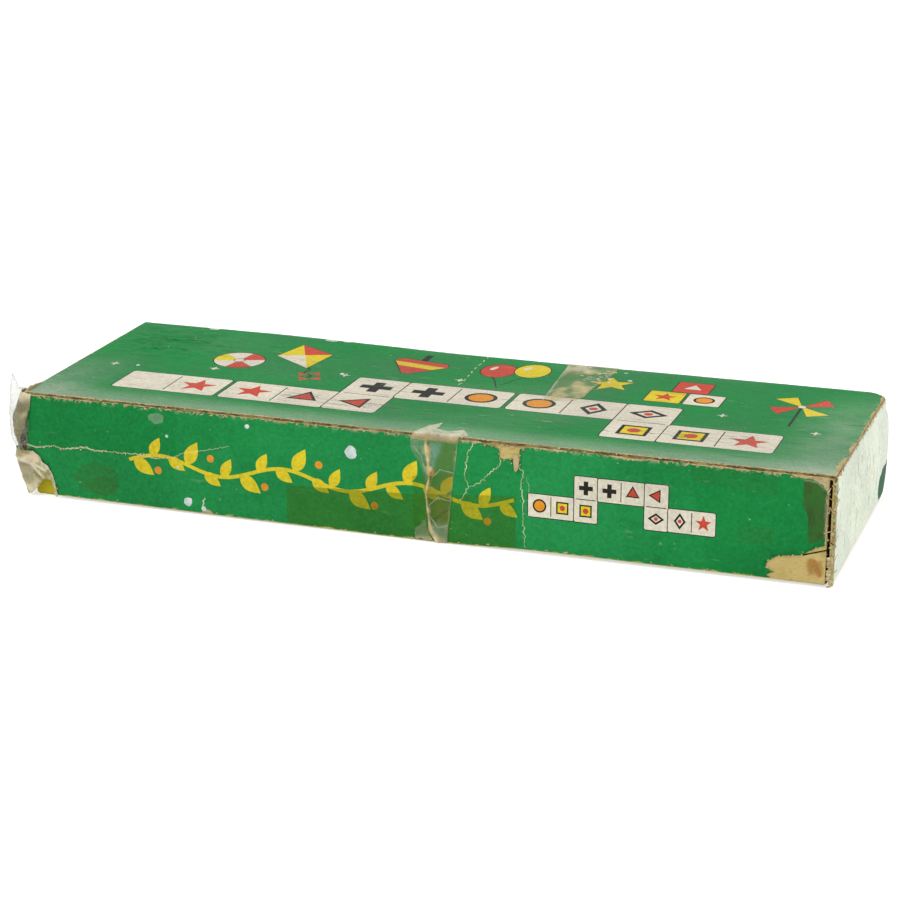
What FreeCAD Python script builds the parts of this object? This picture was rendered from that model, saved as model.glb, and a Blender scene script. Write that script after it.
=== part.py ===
import FreeCAD, Part
import os
import Sketcher

# Two-piece game box in millimetres: +X along the length, +Y to the back, +Z up, base centre at the origin.

doc = FreeCAD.newDocument("game_box")
sheet = doc.addObject("Spreadsheet::Sheet", "Sizes")

# Driving sizes
SIZES = {
    "box_length": 340,
    "box_width": 116,
    "box_height": 45,
    "rim_gap": 1.5,
    "lid_board": 1.5,
    "tray_board": 1.5,
    "paper": 0.25,
    "stay_thickness": 0.2,
    "stay_leg": 18,
    "stay_margin": 3,
    "fold_radius": 1.6,
    "slip": 0.6,
    "lid_turn_in": 15,
    "tray_turn_in": 10,
    "tray_turn_under": 12,
    "under_press": 0.1,
    "corner_slit": 0.3,
    "tile_columns": 4,
    "tile_rows": 7,
    "tile_gap": 0.7,
    "finger_gap": 8,
    "headroom": 1.25,
    "tile_corner": 3,
    "groove_width": 1.2,
    "groove_depth": 0.6,
    "leaflet_length": 150,
    "leaflet_width": 96,
    "leaflet_thickness": 0.5,
    "sheet_thickness": 0.2,
    "leaflet_offset": 34,
    "tape_thickness": 0.1,
    "tape_width": 20,
    "front_tape_start": 0.9,
    "front_tape_lap": 9,
    "back_tape_start": 23,
    "back_tape_slant": 15,
    "back_tape_run": 52,
    "back_tape_drop": 24,
    "tape_space": 4.9,
    "corner_tape_front": 10,
    "corner_tape_side": 32,
    "flap_length": 38,
    "flap_lift": 2.5,
    "patch_length": 10,
    "patch_low": 17,
    "patch_margin": 2.6,
    "split_gap": 1.3,
    "split_margin": 2,
    "tear_length": 14,
    "tear_height": 18,
    "tear_depth": 8,
    "peel_length": 26,
    "peel_low": 10,
    "peel_high": 19,
    "cut_length": 9,
    "cut_level": 12,
    "cut_rise": 3,
    "cut_height": 0.8,
}
for row, (alias, amount) in enumerate(SIZES.items(), start=1):
    sheet.set(f"A{row}", alias)
    sheet.set(f"B{row}", str(amount))
    sheet.setAlias(f"B{row}", alias)
doc.recompute()


def measure(expression):
    """Value of an expression of sheet sizes."""
    return float(sheet.evalExpression(expression))


# Sizes that follow from the driving sizes
HALF_LENGTH = "(Sizes.box_length / 2)"
HALF_WIDTH = "(Sizes.box_width / 2)"
LID_RIM = "(Sizes.rim_gap + Sizes.paper)"
LID_CEILING = "(Sizes.box_height - Sizes.paper - Sizes.lid_board)"
LID_SKIN = "(Sizes.paper + Sizes.lid_board)"
LID_WALL = "(2 * Sizes.paper + Sizes.lid_board)"
TRAY_LENGTH = f"(Sizes.box_length - 2 * ({LID_WALL} + Sizes.slip))"
TRAY_WIDTH = f"(Sizes.box_width - 2 * ({LID_WALL} + Sizes.slip))"
TRAY_SKIN = "(Sizes.paper + Sizes.tray_board)"
TRAY_WALL = "(2 * Sizes.paper + Sizes.tray_board)"
TRAY_RIM = f"({LID_CEILING} - Sizes.paper)"
UNDER_DEPTH = "(Sizes.paper + Sizes.under_press)"
BOARD_RADIUS = "(Sizes.fold_radius - Sizes.paper)"
STAY_RADIUS = "(Sizes.fold_radius - Sizes.paper - Sizes.stay_thickness)"
TAPE_RADIUS = "(Sizes.fold_radius + Sizes.tape_thickness)"
INNER_LENGTH = f"({TRAY_LENGTH} - 2 * {TRAY_WALL})"
INNER_WIDTH = f"({TRAY_WIDTH} - 2 * {TRAY_WALL})"
TILE_COLUMNS = int(measure("Sizes.tile_columns"))
TILE_ROWS = int(measure("Sizes.tile_rows"))
TILE_LENGTH = f"(({INNER_LENGTH} - Sizes.finger_gap) / Sizes.tile_columns - Sizes.tile_gap)"
TILE_DEPTH = f"(({INNER_WIDTH} - Sizes.tile_gap) / Sizes.tile_rows - Sizes.tile_gap)"
TILE_TOP = f"({LID_CEILING} - Sizes.leaflet_thickness - Sizes.headroom)"
TILE_HEIGHT = f"({TILE_TOP} - Sizes.tray_board)"
SPLIT_WIDTH = f"({LID_SKIN} + Sizes.split_gap)"
OVERCUT = "1"
FLAT = 1e-6
NEAR = 1e-4


def rectangle(left, low, right, high):
    """Corner points of an upright rectangle."""
    return [(left, low), (right, low), (right, high), (left, high)]


def centred(length, width):
    """Corner points of a rectangle about the origin."""
    return rectangle(f"-{length} / 2", f"-{width} / 2", f"{length} / 2", f"{width} / 2")


def draw(body, name, role, level, loops):
    """Sketch of closed straight-sided loops on an origin plane of the body, raised to a level."""
    sketch = body.newObject("Sketcher::SketchObject", name)
    plane = next(item for item in body.Origin.OriginFeatures if item.Role == role)
    sketch.AttachmentSupport = [(plane, "")]
    sketch.MapMode = "FlatFace"
    sketch.setExpression("AttachmentOffset.Base.z", level)
    for points in loops:
        first = sketch.GeometryCount
        spots = [FreeCAD.Vector(measure(across), measure(up), 0) for across, up in points]
        ends = spots[1:] + spots[:1]
        for start, end in zip(spots, ends):
            sketch.addGeometry(Part.LineSegment(start, end), False)
        for index, (across, up) in enumerate(points):
            line = first + index
            following = first + (index + 1) % len(points)
            sketch.addConstraint(Sketcher.Constraint("Coincident", line, 2, following, 1))
            for kind, place, expression in (
                ("DistanceX", spots[index].x, across),
                ("DistanceY", spots[index].y, up),
            ):
                bound = sketch.addConstraint(Sketcher.Constraint(kind, -1, 1, line, 1, place))
                sketch.setExpression(f"Constraints[{bound}]", expression)
    return sketch


def pad(body, name, role, level, loops, length):
    """Raise a sketch along its plane's normal."""
    feature = body.newObject("PartDesign::Pad", name)
    feature.Profile = draw(body, f"{name}_sketch", role, level, loops)
    feature.setExpression("Length", length)
    body.Tip = feature
    return feature


def pocket(body, name, level, loops, depth, upward):
    """Cut a plan sketch up or down through the body."""
    feature = body.newObject("PartDesign::Pocket", name)
    feature.Profile = draw(body, f"{name}_sketch", "XY_Plane", level, loops)
    feature.Reversed = upward
    feature.setExpression("Length", depth)
    body.Tip = feature
    return feature


def fillet(body, name, radius, chosen):
    """Round the edges of the body's tip that a test picks."""
    doc.recompute()
    tip = body.Tip
    edges = [f"Edge{number}" for number, edge in enumerate(tip.Shape.Edges, start=1) if chosen(edge)]
    feature = body.newObject("PartDesign::Fillet", name)
    feature.Base = (tip, edges)
    feature.setExpression("Radius", radius)
    body.Tip = feature
    return feature


def spread(edge):
    """Extent of an edge along X, Y and Z."""
    box = edge.BoundBox
    return box.XLength, box.YLength, box.ZLength


def upright(edge):
    """True for a straight edge along Z."""
    across, along, _ = spread(edge)
    return across < FLAT and along < FLAT


def front_to_back(edge):
    """True for a straight edge along Y."""
    across, _, up = spread(edge)
    return across < FLAT and up < FLAT


def upright_at(across, along):
    """Test for the upright edge at a place in plan."""
    place = FreeCAD.Vector(measure(across), measure(along), 0)

    def chosen(edge):
        middle = edge.CenterOfMass
        flat = FreeCAD.Vector(middle.x, middle.y, 0)
        return upright(edge) and flat.distanceToPoint(place) < NEAR

    return chosen


def level_at(level):
    """Test for the edges that lie at a height."""
    height = measure(level)
    return lambda edge: spread(edge)[2] < FLAT and abs(edge.CenterOfMass.z - height) < NEAR


def new_body(label):
    """Empty body with the name of its piece."""
    body = doc.addObject("PartDesign::Body", label)
    body.Label = label
    return body


def box(name, left, front, low, length, width, height):
    """Block with its low corner at a place."""
    block = doc.addObject("Part::Box", name)
    for prop, expression in (("Length", length), ("Width", width), ("Height", height)):
        block.setExpression(prop, expression)
    for axis, expression in (("x", left), ("y", front), ("z", low)):
        block.setExpression(f"Placement.Base.{axis}", expression)
    return block


def combine(kind, label, base, tools):
    """Boolean of a base with one tool or with several joined tools."""
    if len(tools) > 1:
        tool = doc.addObject("Part::MultiFuse", f"{label}_tools")
        tool.Shapes = tools
    else:
        tool = tools[0]
    result = doc.addObject(f"Part::{kind}", label)
    result.Label = label
    result.Base = base
    result.Tool = tool
    return result


def rounded_block(body, length, width, bottom, top, radius, face):
    """Block with rounded upright edges and a rounded edge round one level face."""
    pad(body, "block", "XY_Plane", bottom, [centred(length, width)], f"{top} - {bottom}")
    rim = level_at(face)
    fillet(body, "folds", radius, lambda edge: upright(edge) or rim(edge))


def stay(label, half_length, half_width, sign_x, sign_y, bottom, top):
    """Folded paper strip in the outside of one upright board corner."""
    body = new_body(label)
    outer_x, outer_y = f"{sign_x} * {half_length}", f"{sign_y} * {half_width}"
    inner_x = f"{sign_x} * ({half_length} - Sizes.stay_thickness)"
    inner_y = f"{sign_y} * ({half_width} - Sizes.stay_thickness)"
    end_x = f"{sign_x} * ({half_length} - Sizes.stay_leg)"
    end_y = f"{sign_y} * ({half_width} - Sizes.stay_leg)"
    outline = [
        (outer_x, outer_y),
        (end_x, outer_y),
        (end_x, inner_y),
        (inner_x, inner_y),
        (inner_x, end_y),
        (outer_x, end_y),
    ]
    pad(body, "strip", "XY_Plane", bottom, [outline], f"{top} - {bottom}")
    fillet(body, "outer_fold", BOARD_RADIUS, upright_at(outer_x, outer_y))
    fillet(body, "inner_fold", STAY_RADIUS, upright_at(inner_x, inner_y))
    return body


def slit(name, skin, half_length, half_width, sign_x, sign_y, gap, bottom, top):
    """Gap between an end wall and the long wall that butts against it."""
    left = f"{sign_x} * ({half_length} - {skin} - {gap} / 2) - {gap} / 2"
    depth = f"({skin} + {OVERCUT})"
    front = f"{sign_y} * ({half_width} + {OVERCUT} / 2 - {depth} / 2) - {depth} / 2"
    return box(name, left, front, bottom, gap, depth, f"{top} - {bottom}")


CORNERS = [("front", "left"), ("front", "right"), ("back", "left"), ("back", "right")]
SIGNS = {"front": -1, "back": 1, "left": -1, "right": 1}


def corner_pieces(prefix, half_length, half_width, skin, stay_range, slit_range, split=None, torn=()):
    """Stays and slits of the four upright corners of a board shell."""
    stays = {}
    slits = []
    for depth_side, length_side in CORNERS:
        place = f"{depth_side}_{length_side}"
        signs = SIGNS[length_side], SIGNS[depth_side]
        halves = f"({half_length} - Sizes.paper)", f"({half_width} - Sizes.paper)"
        label = f"{prefix}_stay_{place}_whole" if place in torn else f"{prefix}_stay_{place}"
        gap = "Sizes.split_gap" if place == split else "Sizes.corner_slit"
        stays[place] = stay(label, *halves, *signs, *stay_range)
        slits.append(slit(f"{prefix}_slit_{place}", skin, half_length, half_width, *signs, gap, *slit_range))
    return stays, slits


# Lid: board blank, then the paper that wraps it
lid_blank = new_body("lid_blank")
lid_board_size = "(Sizes.box_length - 2 * Sizes.paper)", "(Sizes.box_width - 2 * Sizes.paper)"
lid_board_top = "(Sizes.box_height - Sizes.paper)"
rounded_block(lid_blank, *lid_board_size, LID_RIM, lid_board_top, BOARD_RADIUS, lid_board_top)
lid_room = f"(Sizes.box_length - 2 * {LID_SKIN})", f"(Sizes.box_width - 2 * {LID_SKIN})"
pocket(lid_blank, "room", LID_RIM, [centred(*lid_room)], f"{LID_CEILING} - {LID_RIM}", True)

lid_shell = new_body("lid_shell")
lid_outside = "Sizes.box_length", "Sizes.box_width"
rounded_block(
    lid_shell, *lid_outside, "Sizes.rim_gap", "Sizes.box_height", "Sizes.fold_radius", "Sizes.box_height"
)
lid_mouth = f"(Sizes.box_length - 2 * {LID_WALL})", f"(Sizes.box_width - 2 * {LID_WALL})"
pocket(lid_shell, "mouth", "Sizes.rim_gap", [centred(*lid_mouth)], f"{LID_CEILING} - Sizes.rim_gap", True)
lid_fold_end = "(Sizes.rim_gap + Sizes.lid_turn_in)"
pocket(lid_shell, "room", lid_fold_end, [centred(*lid_room)], f"{LID_CEILING} - {lid_fold_end}", True)

# Damage of the lid: torn low corner, open corner, cut and peeled paper at the lower right
tear = new_body("tear")
tear_left = f"-{HALF_LENGTH} - {OVERCUT}"
tear_outline = [
    (tear_left, f"Sizes.rim_gap - {OVERCUT}"),
    (f"-{HALF_LENGTH} + Sizes.tear_length", f"Sizes.rim_gap - {OVERCUT}"),
    (f"-{HALF_LENGTH} + Sizes.tear_length * 0.9", "Sizes.rim_gap + Sizes.tear_height * 0.4"),
    (f"-{HALF_LENGTH} + Sizes.tear_length * 0.55", "Sizes.rim_gap + Sizes.tear_height * 0.75"),
    (tear_left, "Sizes.rim_gap + Sizes.tear_height"),
]
tear_start = f"{HALF_WIDTH} - Sizes.tear_depth"
pad(tear, "tear_block", "XZ_Plane", tear_start, [tear_outline], f"Sizes.tear_depth + {OVERCUT}")

peel = new_body("peel")
peel_left = f"{HALF_LENGTH} - Sizes.peel_length"
peel_outline = [
    (peel_left, f"Sizes.rim_gap - {OVERCUT}"),
    (f"{HALF_LENGTH} - {SPLIT_WIDTH} / 2", f"Sizes.rim_gap - {OVERCUT}"),
    (f"{HALF_LENGTH} - {SPLIT_WIDTH} / 2", "Sizes.peel_high"),
    (f"{HALF_LENGTH} - Sizes.peel_length / 2", "Sizes.peel_low * 0.7 + Sizes.peel_high * 0.3"),
    (f"{peel_left} + Sizes.peel_low / 2", "Sizes.peel_low"),
]
peel_start = f"{HALF_WIDTH} - Sizes.paper"
pad(peel, "peel_block", "XZ_Plane", peel_start, [peel_outline], f"Sizes.paper + {OVERCUT}")

split = box(
    "split",
    f"{HALF_LENGTH} - {SPLIT_WIDTH}",
    f"-{HALF_WIDTH} - {OVERCUT}",
    f"Sizes.rim_gap - {OVERCUT}",
    f"{SPLIT_WIDTH} + {OVERCUT}",
    f"Sizes.fold_radius + {OVERCUT}",
    f"Sizes.box_height - Sizes.split_margin - Sizes.rim_gap + {OVERCUT}",
)
cut = new_body("cut")
cut_right = f"{HALF_LENGTH} - {SPLIT_WIDTH} + {OVERCUT} / 2"
cut_left = f"{HALF_LENGTH} - {SPLIT_WIDTH} - Sizes.cut_length"
cut_outline = [
    (cut_left, "Sizes.cut_level"),
    (cut_right, "Sizes.cut_level + Sizes.cut_rise"),
    (cut_right, "Sizes.cut_level + Sizes.cut_rise + Sizes.cut_height"),
    (cut_left, "Sizes.cut_level + Sizes.cut_height"),
]
cut_start = f"{HALF_WIDTH} - {LID_SKIN} - Sizes.paper"
pad(cut, "cut_block", "XZ_Plane", cut_start, [cut_outline], f"{LID_SKIN} + Sizes.paper + {OVERCUT}")

lid_stays, lid_slits = corner_pieces(
    "lid",
    HALF_LENGTH,
    HALF_WIDTH,
    LID_SKIN,
    (LID_RIM, "(Sizes.box_height - Sizes.stay_margin)"),
    ("Sizes.rim_gap", LID_CEILING),
    split="front_right",
    torn=("front_left", "front_right"),
)
torn_stays = dict(lid_stays)
for place, tools in (("front_left", [tear]), ("front_right", [split, cut])):
    torn_stays[place] = combine("Cut", f"lid_stay_{place}", lid_stays[place], tools)
lid_board = combine("Cut", "lid_board", lid_blank, [*lid_stays.values(), *lid_slits, tear, cut])
lid_skin = combine("Cut", "lid_skin", lid_shell, [lid_blank])
lid_wrap = combine("Cut", "lid_wrap", lid_skin, [tear, peel, split, cut])

# Tray: board blank with the ring pressed in for the turned-under paper, then its wrap
HALF_TRAY_LENGTH = f"({TRAY_LENGTH} / 2)"
HALF_TRAY_WIDTH = f"({TRAY_WIDTH} / 2)"
tray_board_size = f"({TRAY_LENGTH} - 2 * Sizes.paper)", f"({TRAY_WIDTH} - 2 * Sizes.paper)"
tray_room = f"({TRAY_LENGTH} - 2 * {TRAY_SKIN})", f"({TRAY_WIDTH} - 2 * {TRAY_SKIN})"
tray_foot = f"({TRAY_LENGTH} - 2 * Sizes.tray_turn_under)", f"({TRAY_WIDTH} - 2 * Sizes.tray_turn_under)"

tray_blank = new_body("tray_blank")
rounded_block(tray_blank, *tray_board_size, UNDER_DEPTH, TRAY_RIM, BOARD_RADIUS, UNDER_DEPTH)
pad(tray_blank, "foot", "XY_Plane", "0", [centred(*tray_foot)], UNDER_DEPTH)
pocket(tray_blank, "room", TRAY_RIM, [centred(*tray_room)], f"{TRAY_RIM} - Sizes.tray_board", False)

tray_shell = new_body("tray_shell")
tray_outside = TRAY_LENGTH, TRAY_WIDTH
tray_under = "Sizes.under_press"
rounded_block(tray_shell, *tray_outside, tray_under, LID_CEILING, "Sizes.fold_radius", tray_under)
tray_mouth = INNER_LENGTH, INNER_WIDTH
pocket(tray_shell, "mouth", LID_CEILING, [centred(*tray_mouth)], f"{LID_CEILING} - Sizes.tray_board", False)
tray_fold_end = f"({LID_CEILING} - Sizes.tray_turn_in)"
pocket(tray_shell, "room", tray_fold_end, [centred(*tray_room)], f"{tray_fold_end} - Sizes.tray_board", False)

tray_stays, tray_slits = corner_pieces(
    "tray",
    HALF_TRAY_LENGTH,
    HALF_TRAY_WIDTH,
    TRAY_SKIN,
    ("Sizes.stay_margin", TRAY_RIM),
    ("Sizes.tray_board", LID_CEILING),
)
tray_board = combine("Cut", "tray_board", tray_blank, [*tray_stays.values(), *tray_slits])
tray_wrap = combine("Cut", "tray_wrap", tray_shell, [tray_blank])


def folded_tape(label, role, level, corner, ends, length):
    """Tape folded round one outside edge of the lid, drawn across that edge."""
    body = new_body(label)
    (corner_x, corner_y), (out_x, out_y), (end_x, end_y) = corner, *ends
    outline = [
        (corner_x, corner_y),
        (end_x, corner_y),
        (end_x, out_y),
        (out_x, out_y),
        (out_x, end_y),
        (corner_x, end_y),
    ]
    pad(body, "strip", role, level, [outline], length)
    doc.recompute()
    return body


def round_tape(body, along, places):
    """Round the inner and outer bends of a folded tape."""
    for name, radius, place in (
        ("inner_bend", "Sizes.fold_radius", places[0]),
        ("outer_bend", TAPE_RADIUS, places[1]),
    ):
        spot = [measure(item) for item in place]

        def chosen(edge):
            sizes = spread(edge)
            middle = [edge.CenterOfMass.x, edge.CenterOfMass.y, edge.CenterOfMass.z]
            across = [axis for axis in range(3) if axis != along]
            near = all(abs(middle[axis] - want) < NEAR for axis, want in zip(across, spot))
            return near and all(sizes[axis] < FLAT for axis in across)

        fillet(body, name, radius, chosen)


# Tapes stuck to the lid
front_face, front_skin = f"-{HALF_WIDTH}", f"-{HALF_WIDTH} - Sizes.tape_thickness"
back_face, back_skin = HALF_WIDTH, f"{HALF_WIDTH} + Sizes.tape_thickness"
left_face, left_skin = f"-{HALF_LENGTH}", f"-{HALF_LENGTH} - Sizes.tape_thickness"
top_face, top_skin = "Sizes.box_height", "Sizes.box_height + Sizes.tape_thickness"

tape_front = folded_tape(
    "tape_front",
    "YZ_Plane",
    "Sizes.front_tape_start",
    (front_face, top_face),
    ((front_skin, top_skin), (f"{front_face} + Sizes.front_tape_lap", "Sizes.rim_gap")),
    "Sizes.tape_width",
)
round_tape(tape_front, 0, ((front_face, top_face), (front_skin, top_skin)))

back_tape_end = f"{HALF_WIDTH} - Sizes.back_tape_run"
back_strip = folded_tape(
    "back_strip",
    "YZ_Plane",
    "Sizes.back_tape_start",
    (back_face, top_face),
    ((back_skin, top_skin), (back_tape_end, "Sizes.box_height - Sizes.back_tape_drop")),
    "Sizes.tape_width + Sizes.back_tape_slant",
)
round_tape(back_strip, 0, ((back_face, top_face), (back_skin, top_skin)))
back_plan = new_body("back_plan")
back_fold = f"{HALF_WIDTH} - 2 * Sizes.fold_radius"
back_outline = [
    ("Sizes.back_tape_start", f"{HALF_WIDTH} + {OVERCUT}"),
    ("Sizes.back_tape_start", back_fold),
    ("Sizes.back_tape_start + Sizes.back_tape_slant", back_tape_end),
    ("Sizes.back_tape_start + Sizes.back_tape_slant + Sizes.tape_width", back_tape_end),
    ("Sizes.back_tape_start + Sizes.tape_width", back_fold),
    ("Sizes.back_tape_start + Sizes.tape_width", f"{HALF_WIDTH} + {OVERCUT}"),
]
pad(back_plan, "plan", "XY_Plane", "0", [back_outline], f"Sizes.box_height + {OVERCUT}")
tape_back = combine("Common", "tape_back", back_strip, [back_plan])

flap_low = "(Sizes.box_height - Sizes.fold_radius - Sizes.tape_width)"
tape_left_corner = folded_tape(
    "tape_left_corner",
    "XY_Plane",
    "Sizes.rim_gap",
    (left_face, front_face),
    (
        (left_skin, front_skin),
        (f"{left_face} + Sizes.corner_tape_front", f"{front_face} + Sizes.corner_tape_side"),
    ),
    f"{flap_low} - Sizes.tape_space - Sizes.rim_gap",
)
round_tape(tape_left_corner, 2, ((left_face, front_face), (left_skin, front_skin)))

tape_left_flap = new_body("tape_left_flap")
flap_bend = f"{front_face} + Sizes.fold_radius"
flap_end = f"{front_face} - Sizes.flap_lift"
flap_outline = [
    (left_face, f"{front_face} + Sizes.flap_length"),
    (left_skin, f"{front_face} + Sizes.flap_length"),
    (left_skin, flap_bend),
    (f"{left_skin} - Sizes.flap_lift", flap_end),
    (f"{left_face} - Sizes.flap_lift", flap_end),
    (left_face, flap_bend),
]
pad(tape_left_flap, "strip", "XY_Plane", flap_low, [flap_outline], "Sizes.tape_width")

tape_right_corner = new_body("tape_right_corner")
patch_right = f"{HALF_LENGTH} - {SPLIT_WIDTH}"
patch_outline = rectangle(f"{patch_right} - Sizes.patch_length", front_skin, patch_right, front_face)
patch_height = "Sizes.box_height - Sizes.patch_margin - Sizes.patch_low"
pad(tape_right_corner, "strip", "XY_Plane", "Sizes.patch_low", [patch_outline], patch_height)


def tile(label, column, row):
    """Wooden domino standing on its long edge, face to the front, with a groove between its halves."""
    body = new_body(label)
    pad(body, "block", "XY_Plane", "0", [centred(TILE_LENGTH, TILE_DEPTH)], TILE_HEIGHT)
    fillet(body, "corners", "Sizes.tile_corner", front_to_back)
    groove = rectangle(
        "-Sizes.groove_width / 2",
        f"-{TILE_DEPTH} / 2 - {OVERCUT}",
        "Sizes.groove_width / 2",
        f"-{TILE_DEPTH} / 2 + Sizes.groove_depth",
    )
    pocket(body, "groove", "0", [groove], TILE_HEIGHT, True)
    first_x = f"-{INNER_LENGTH} / 2 + Sizes.tile_gap + {TILE_LENGTH} / 2"
    first_y = f"-{INNER_WIDTH} / 2 + Sizes.tile_gap + {TILE_DEPTH} / 2"
    body.setExpression("Placement.Base.x", f"{first_x} + {column} * ({TILE_LENGTH} + Sizes.tile_gap)")
    body.setExpression("Placement.Base.y", f"{first_y} + {row} * ({TILE_DEPTH} + Sizes.tile_gap)")
    body.setExpression("Placement.Base.z", "Sizes.tray_board")
    return body


tiles = [
    tile(f"tile_{1 + row * TILE_COLUMNS + column:02d}", column, row)
    for row in range(TILE_ROWS)
    for column in range(TILE_COLUMNS)
]

# Rules leaflet: one sheet folded along its left edge, lying on the tiles
rules_leaflet = new_body("rules_leaflet")
leaf_left = "-Sizes.leaflet_offset - Sizes.leaflet_length / 2"
leaf_right = "-Sizes.leaflet_offset + Sizes.leaflet_length / 2"
leaf_fold = f"{leaf_left} + Sizes.sheet_thickness"
leaf_under = f"{TILE_TOP} + Sizes.sheet_thickness"
leaf_top = f"{TILE_TOP} + Sizes.leaflet_thickness"
leaf_over = f"{leaf_top} - Sizes.sheet_thickness"
leaf_outline = [
    (leaf_left, TILE_TOP),
    (leaf_right, TILE_TOP),
    (leaf_right, leaf_under),
    (leaf_fold, leaf_under),
    (leaf_fold, leaf_over),
    (leaf_right, leaf_over),
    (leaf_right, leaf_top),
    (leaf_left, leaf_top),
]
leaf_start = "-Sizes.leaflet_width / 2"
pad(rules_leaflet, "sheet", "XZ_Plane", leaf_start, [leaf_outline], "Sizes.leaflet_width")

doc.recompute()

# Pieces of the box, checked and written
pieces = {
    "lid_board": lid_board,
    "lid_wrap": lid_wrap,
    "tray_board": tray_board,
    "tray_wrap": tray_wrap,
    "tape_front": tape_front,
    "tape_back": tape_back,
    "tape_left_corner": tape_left_corner,
    "tape_left_flap": tape_left_flap,
    "tape_right_corner": tape_right_corner,
    "rules_leaflet": rules_leaflet,
}
pieces.update({f"lid_stay_{place}": piece for place, piece in torn_stays.items()})
pieces.update({f"tray_stay_{place}": piece for place, piece in tray_stays.items()})
pieces.update({piece.Label: piece for piece in tiles})

faulty = [item.Label for item in doc.Objects if "Invalid" in item.State or "Error" in item.State]
faulty += [name for name, piece in pieces.items() if piece.Shape.isNull() or not piece.Shape.isValid()]
if faulty:
    raise RuntimeError("pieces that did not build: " + ", ".join(faulty))

os.makedirs("parts", exist_ok=True)
for name, piece in pieces.items():
    piece.Shape.exportStep(f"parts/{name}.step")
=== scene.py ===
"""Looks of the game box: worn printed paper, tapes, tray, wooden dominoes and leaflet."""

import math
import random
from collections import namedtuple

import bmesh
import bpy
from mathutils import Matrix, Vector, geometry, noise


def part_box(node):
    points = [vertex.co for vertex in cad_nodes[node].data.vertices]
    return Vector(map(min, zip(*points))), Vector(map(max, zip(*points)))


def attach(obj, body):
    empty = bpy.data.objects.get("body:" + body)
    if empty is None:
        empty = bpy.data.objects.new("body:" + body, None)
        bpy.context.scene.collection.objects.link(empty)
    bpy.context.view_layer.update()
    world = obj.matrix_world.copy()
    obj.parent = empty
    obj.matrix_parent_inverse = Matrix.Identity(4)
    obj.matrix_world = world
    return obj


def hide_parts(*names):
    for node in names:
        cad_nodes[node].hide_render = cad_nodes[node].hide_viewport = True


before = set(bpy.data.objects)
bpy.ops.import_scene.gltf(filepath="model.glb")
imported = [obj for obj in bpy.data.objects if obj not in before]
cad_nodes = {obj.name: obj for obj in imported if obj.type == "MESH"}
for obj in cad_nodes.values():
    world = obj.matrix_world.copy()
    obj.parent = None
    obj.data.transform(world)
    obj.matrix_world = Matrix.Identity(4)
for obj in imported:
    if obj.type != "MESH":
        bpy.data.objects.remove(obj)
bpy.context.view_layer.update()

# Lengths are in millimetres until a mesh is made
MM = 0.001
lid_low, lid_high = [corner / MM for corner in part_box("lid_wrap")]
HALF_LENGTH, HALF_WIDTH, TOP = lid_high
RIM = lid_low.z
FOLD = 1.6
HALF_FOLD = FOLD * math.pi / 4
ROLL = 1.0
HEM = 13.0
PAPER = 0.2

# Colours, linear
GREEN = (0.010, 0.240, 0.053)
CREAM = (0.78, 0.72, 0.58)
RED = (0.62, 0.075, 0.045)
YELLOW = (0.78, 0.62, 0.03)
ORANGE = (0.80, 0.31, 0.03)
DARK = (0.022, 0.022, 0.018)
# Pale grey green: painted sheen and worn ink on the top, blotches in the right end's painted glare, and a
# haze of paint on the front
HAZE_AND_SHEEN = (0.56, 0.62, 0.51)
TORN = (0.80, 0.72, 0.48)
# Near-white mint: painted glare on the right end
GLARE_MINT = (0.90, 0.97, 0.82)
STAIN = (0.044, 0.142, 0.0)
OLIVE = (0.05, 0.10, 0.01)
# Lighter green: lighter patches on the front, and painted highlights on the top's wrinkles
LIGHTER_GREEN = (0.03, 0.33, 0.10)
# Deep green: painted shade
SHADE_GREEN = (0.0, 0.085, 0.02)
RIM_YELLOW = (0.74, 0.60, 0.14)
PALE_GREEN = (0.40, 0.50, 0.26)
OLD_CREAM = (0.64, 0.54, 0.28)
SPECK = (0.80, 0.81, 0.74)
SCRATCH = (0.13, 0.16, 0.10)
# Streak tones within the painted glare on the right end
END_STREAKS = [(0.90, 0.84, 0.60)] * 3 + [(0.66, 0.82, 0.68), (0.36, 0.55, 0.40)]
BARE = "bare"

# Shape on a sheet; its kind is paper, ink, print, tint, bare, hole, groove or guide
Layer = namedtuple("Layer", "kind outline colour amount", defaults=(None, 1.0))


# Small helpers
def spread(start, end, step):
    """Evenly spaced values from start to end, both included."""
    count = max(1, round(abs(end - start) / step))
    return [start + (end - start) * index / count for index in range(count + 1)]


def waver(seed, *place):
    """Smooth noise from -1 to 1 at a place on a line or a sheet."""
    across, up = (place + (0.0,))[:2]
    return noise.noise(Vector((across, up, seed * 7.31 + 0.37)))


def smooth(value, start, end):
    """0 before start, 1 after end, smooth between them."""
    t = min(1.0, max(0.0, (value - start) / (end - start)))
    return t * t * (3 - 2 * t)


def mixed(first, second, amount):
    """Colour between two colours."""
    return tuple(a + (b - a) * amount for a, b in zip(first, second))


# Outlines
def ccw(points):
    """The outline, turned to run counter-clockwise."""
    pairs = zip(points, points[1:] + points[:1])
    doubled = sum(a[0] * b[1] - b[0] * a[1] for a, b in pairs)
    return points if doubled > 0 else points[::-1]


def moved(points, across=0.0, up=0.0, turn=0.0, size=1.0):
    """The outline, scaled, turned in degrees and shifted."""
    c = math.cos(math.radians(turn)) * size
    s = math.sin(math.radians(turn)) * size
    return [(across + c * u - s * v, up + s * u + c * v) for u, v in points]


def disc(wide=1.0, tall=None, count=24):
    """Ellipse about the origin."""
    tall = wide if tall is None else tall
    angles = [2 * math.pi * index / count for index in range(count)]
    return [(wide * math.cos(a), tall * math.sin(a)) for a in angles]


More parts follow.
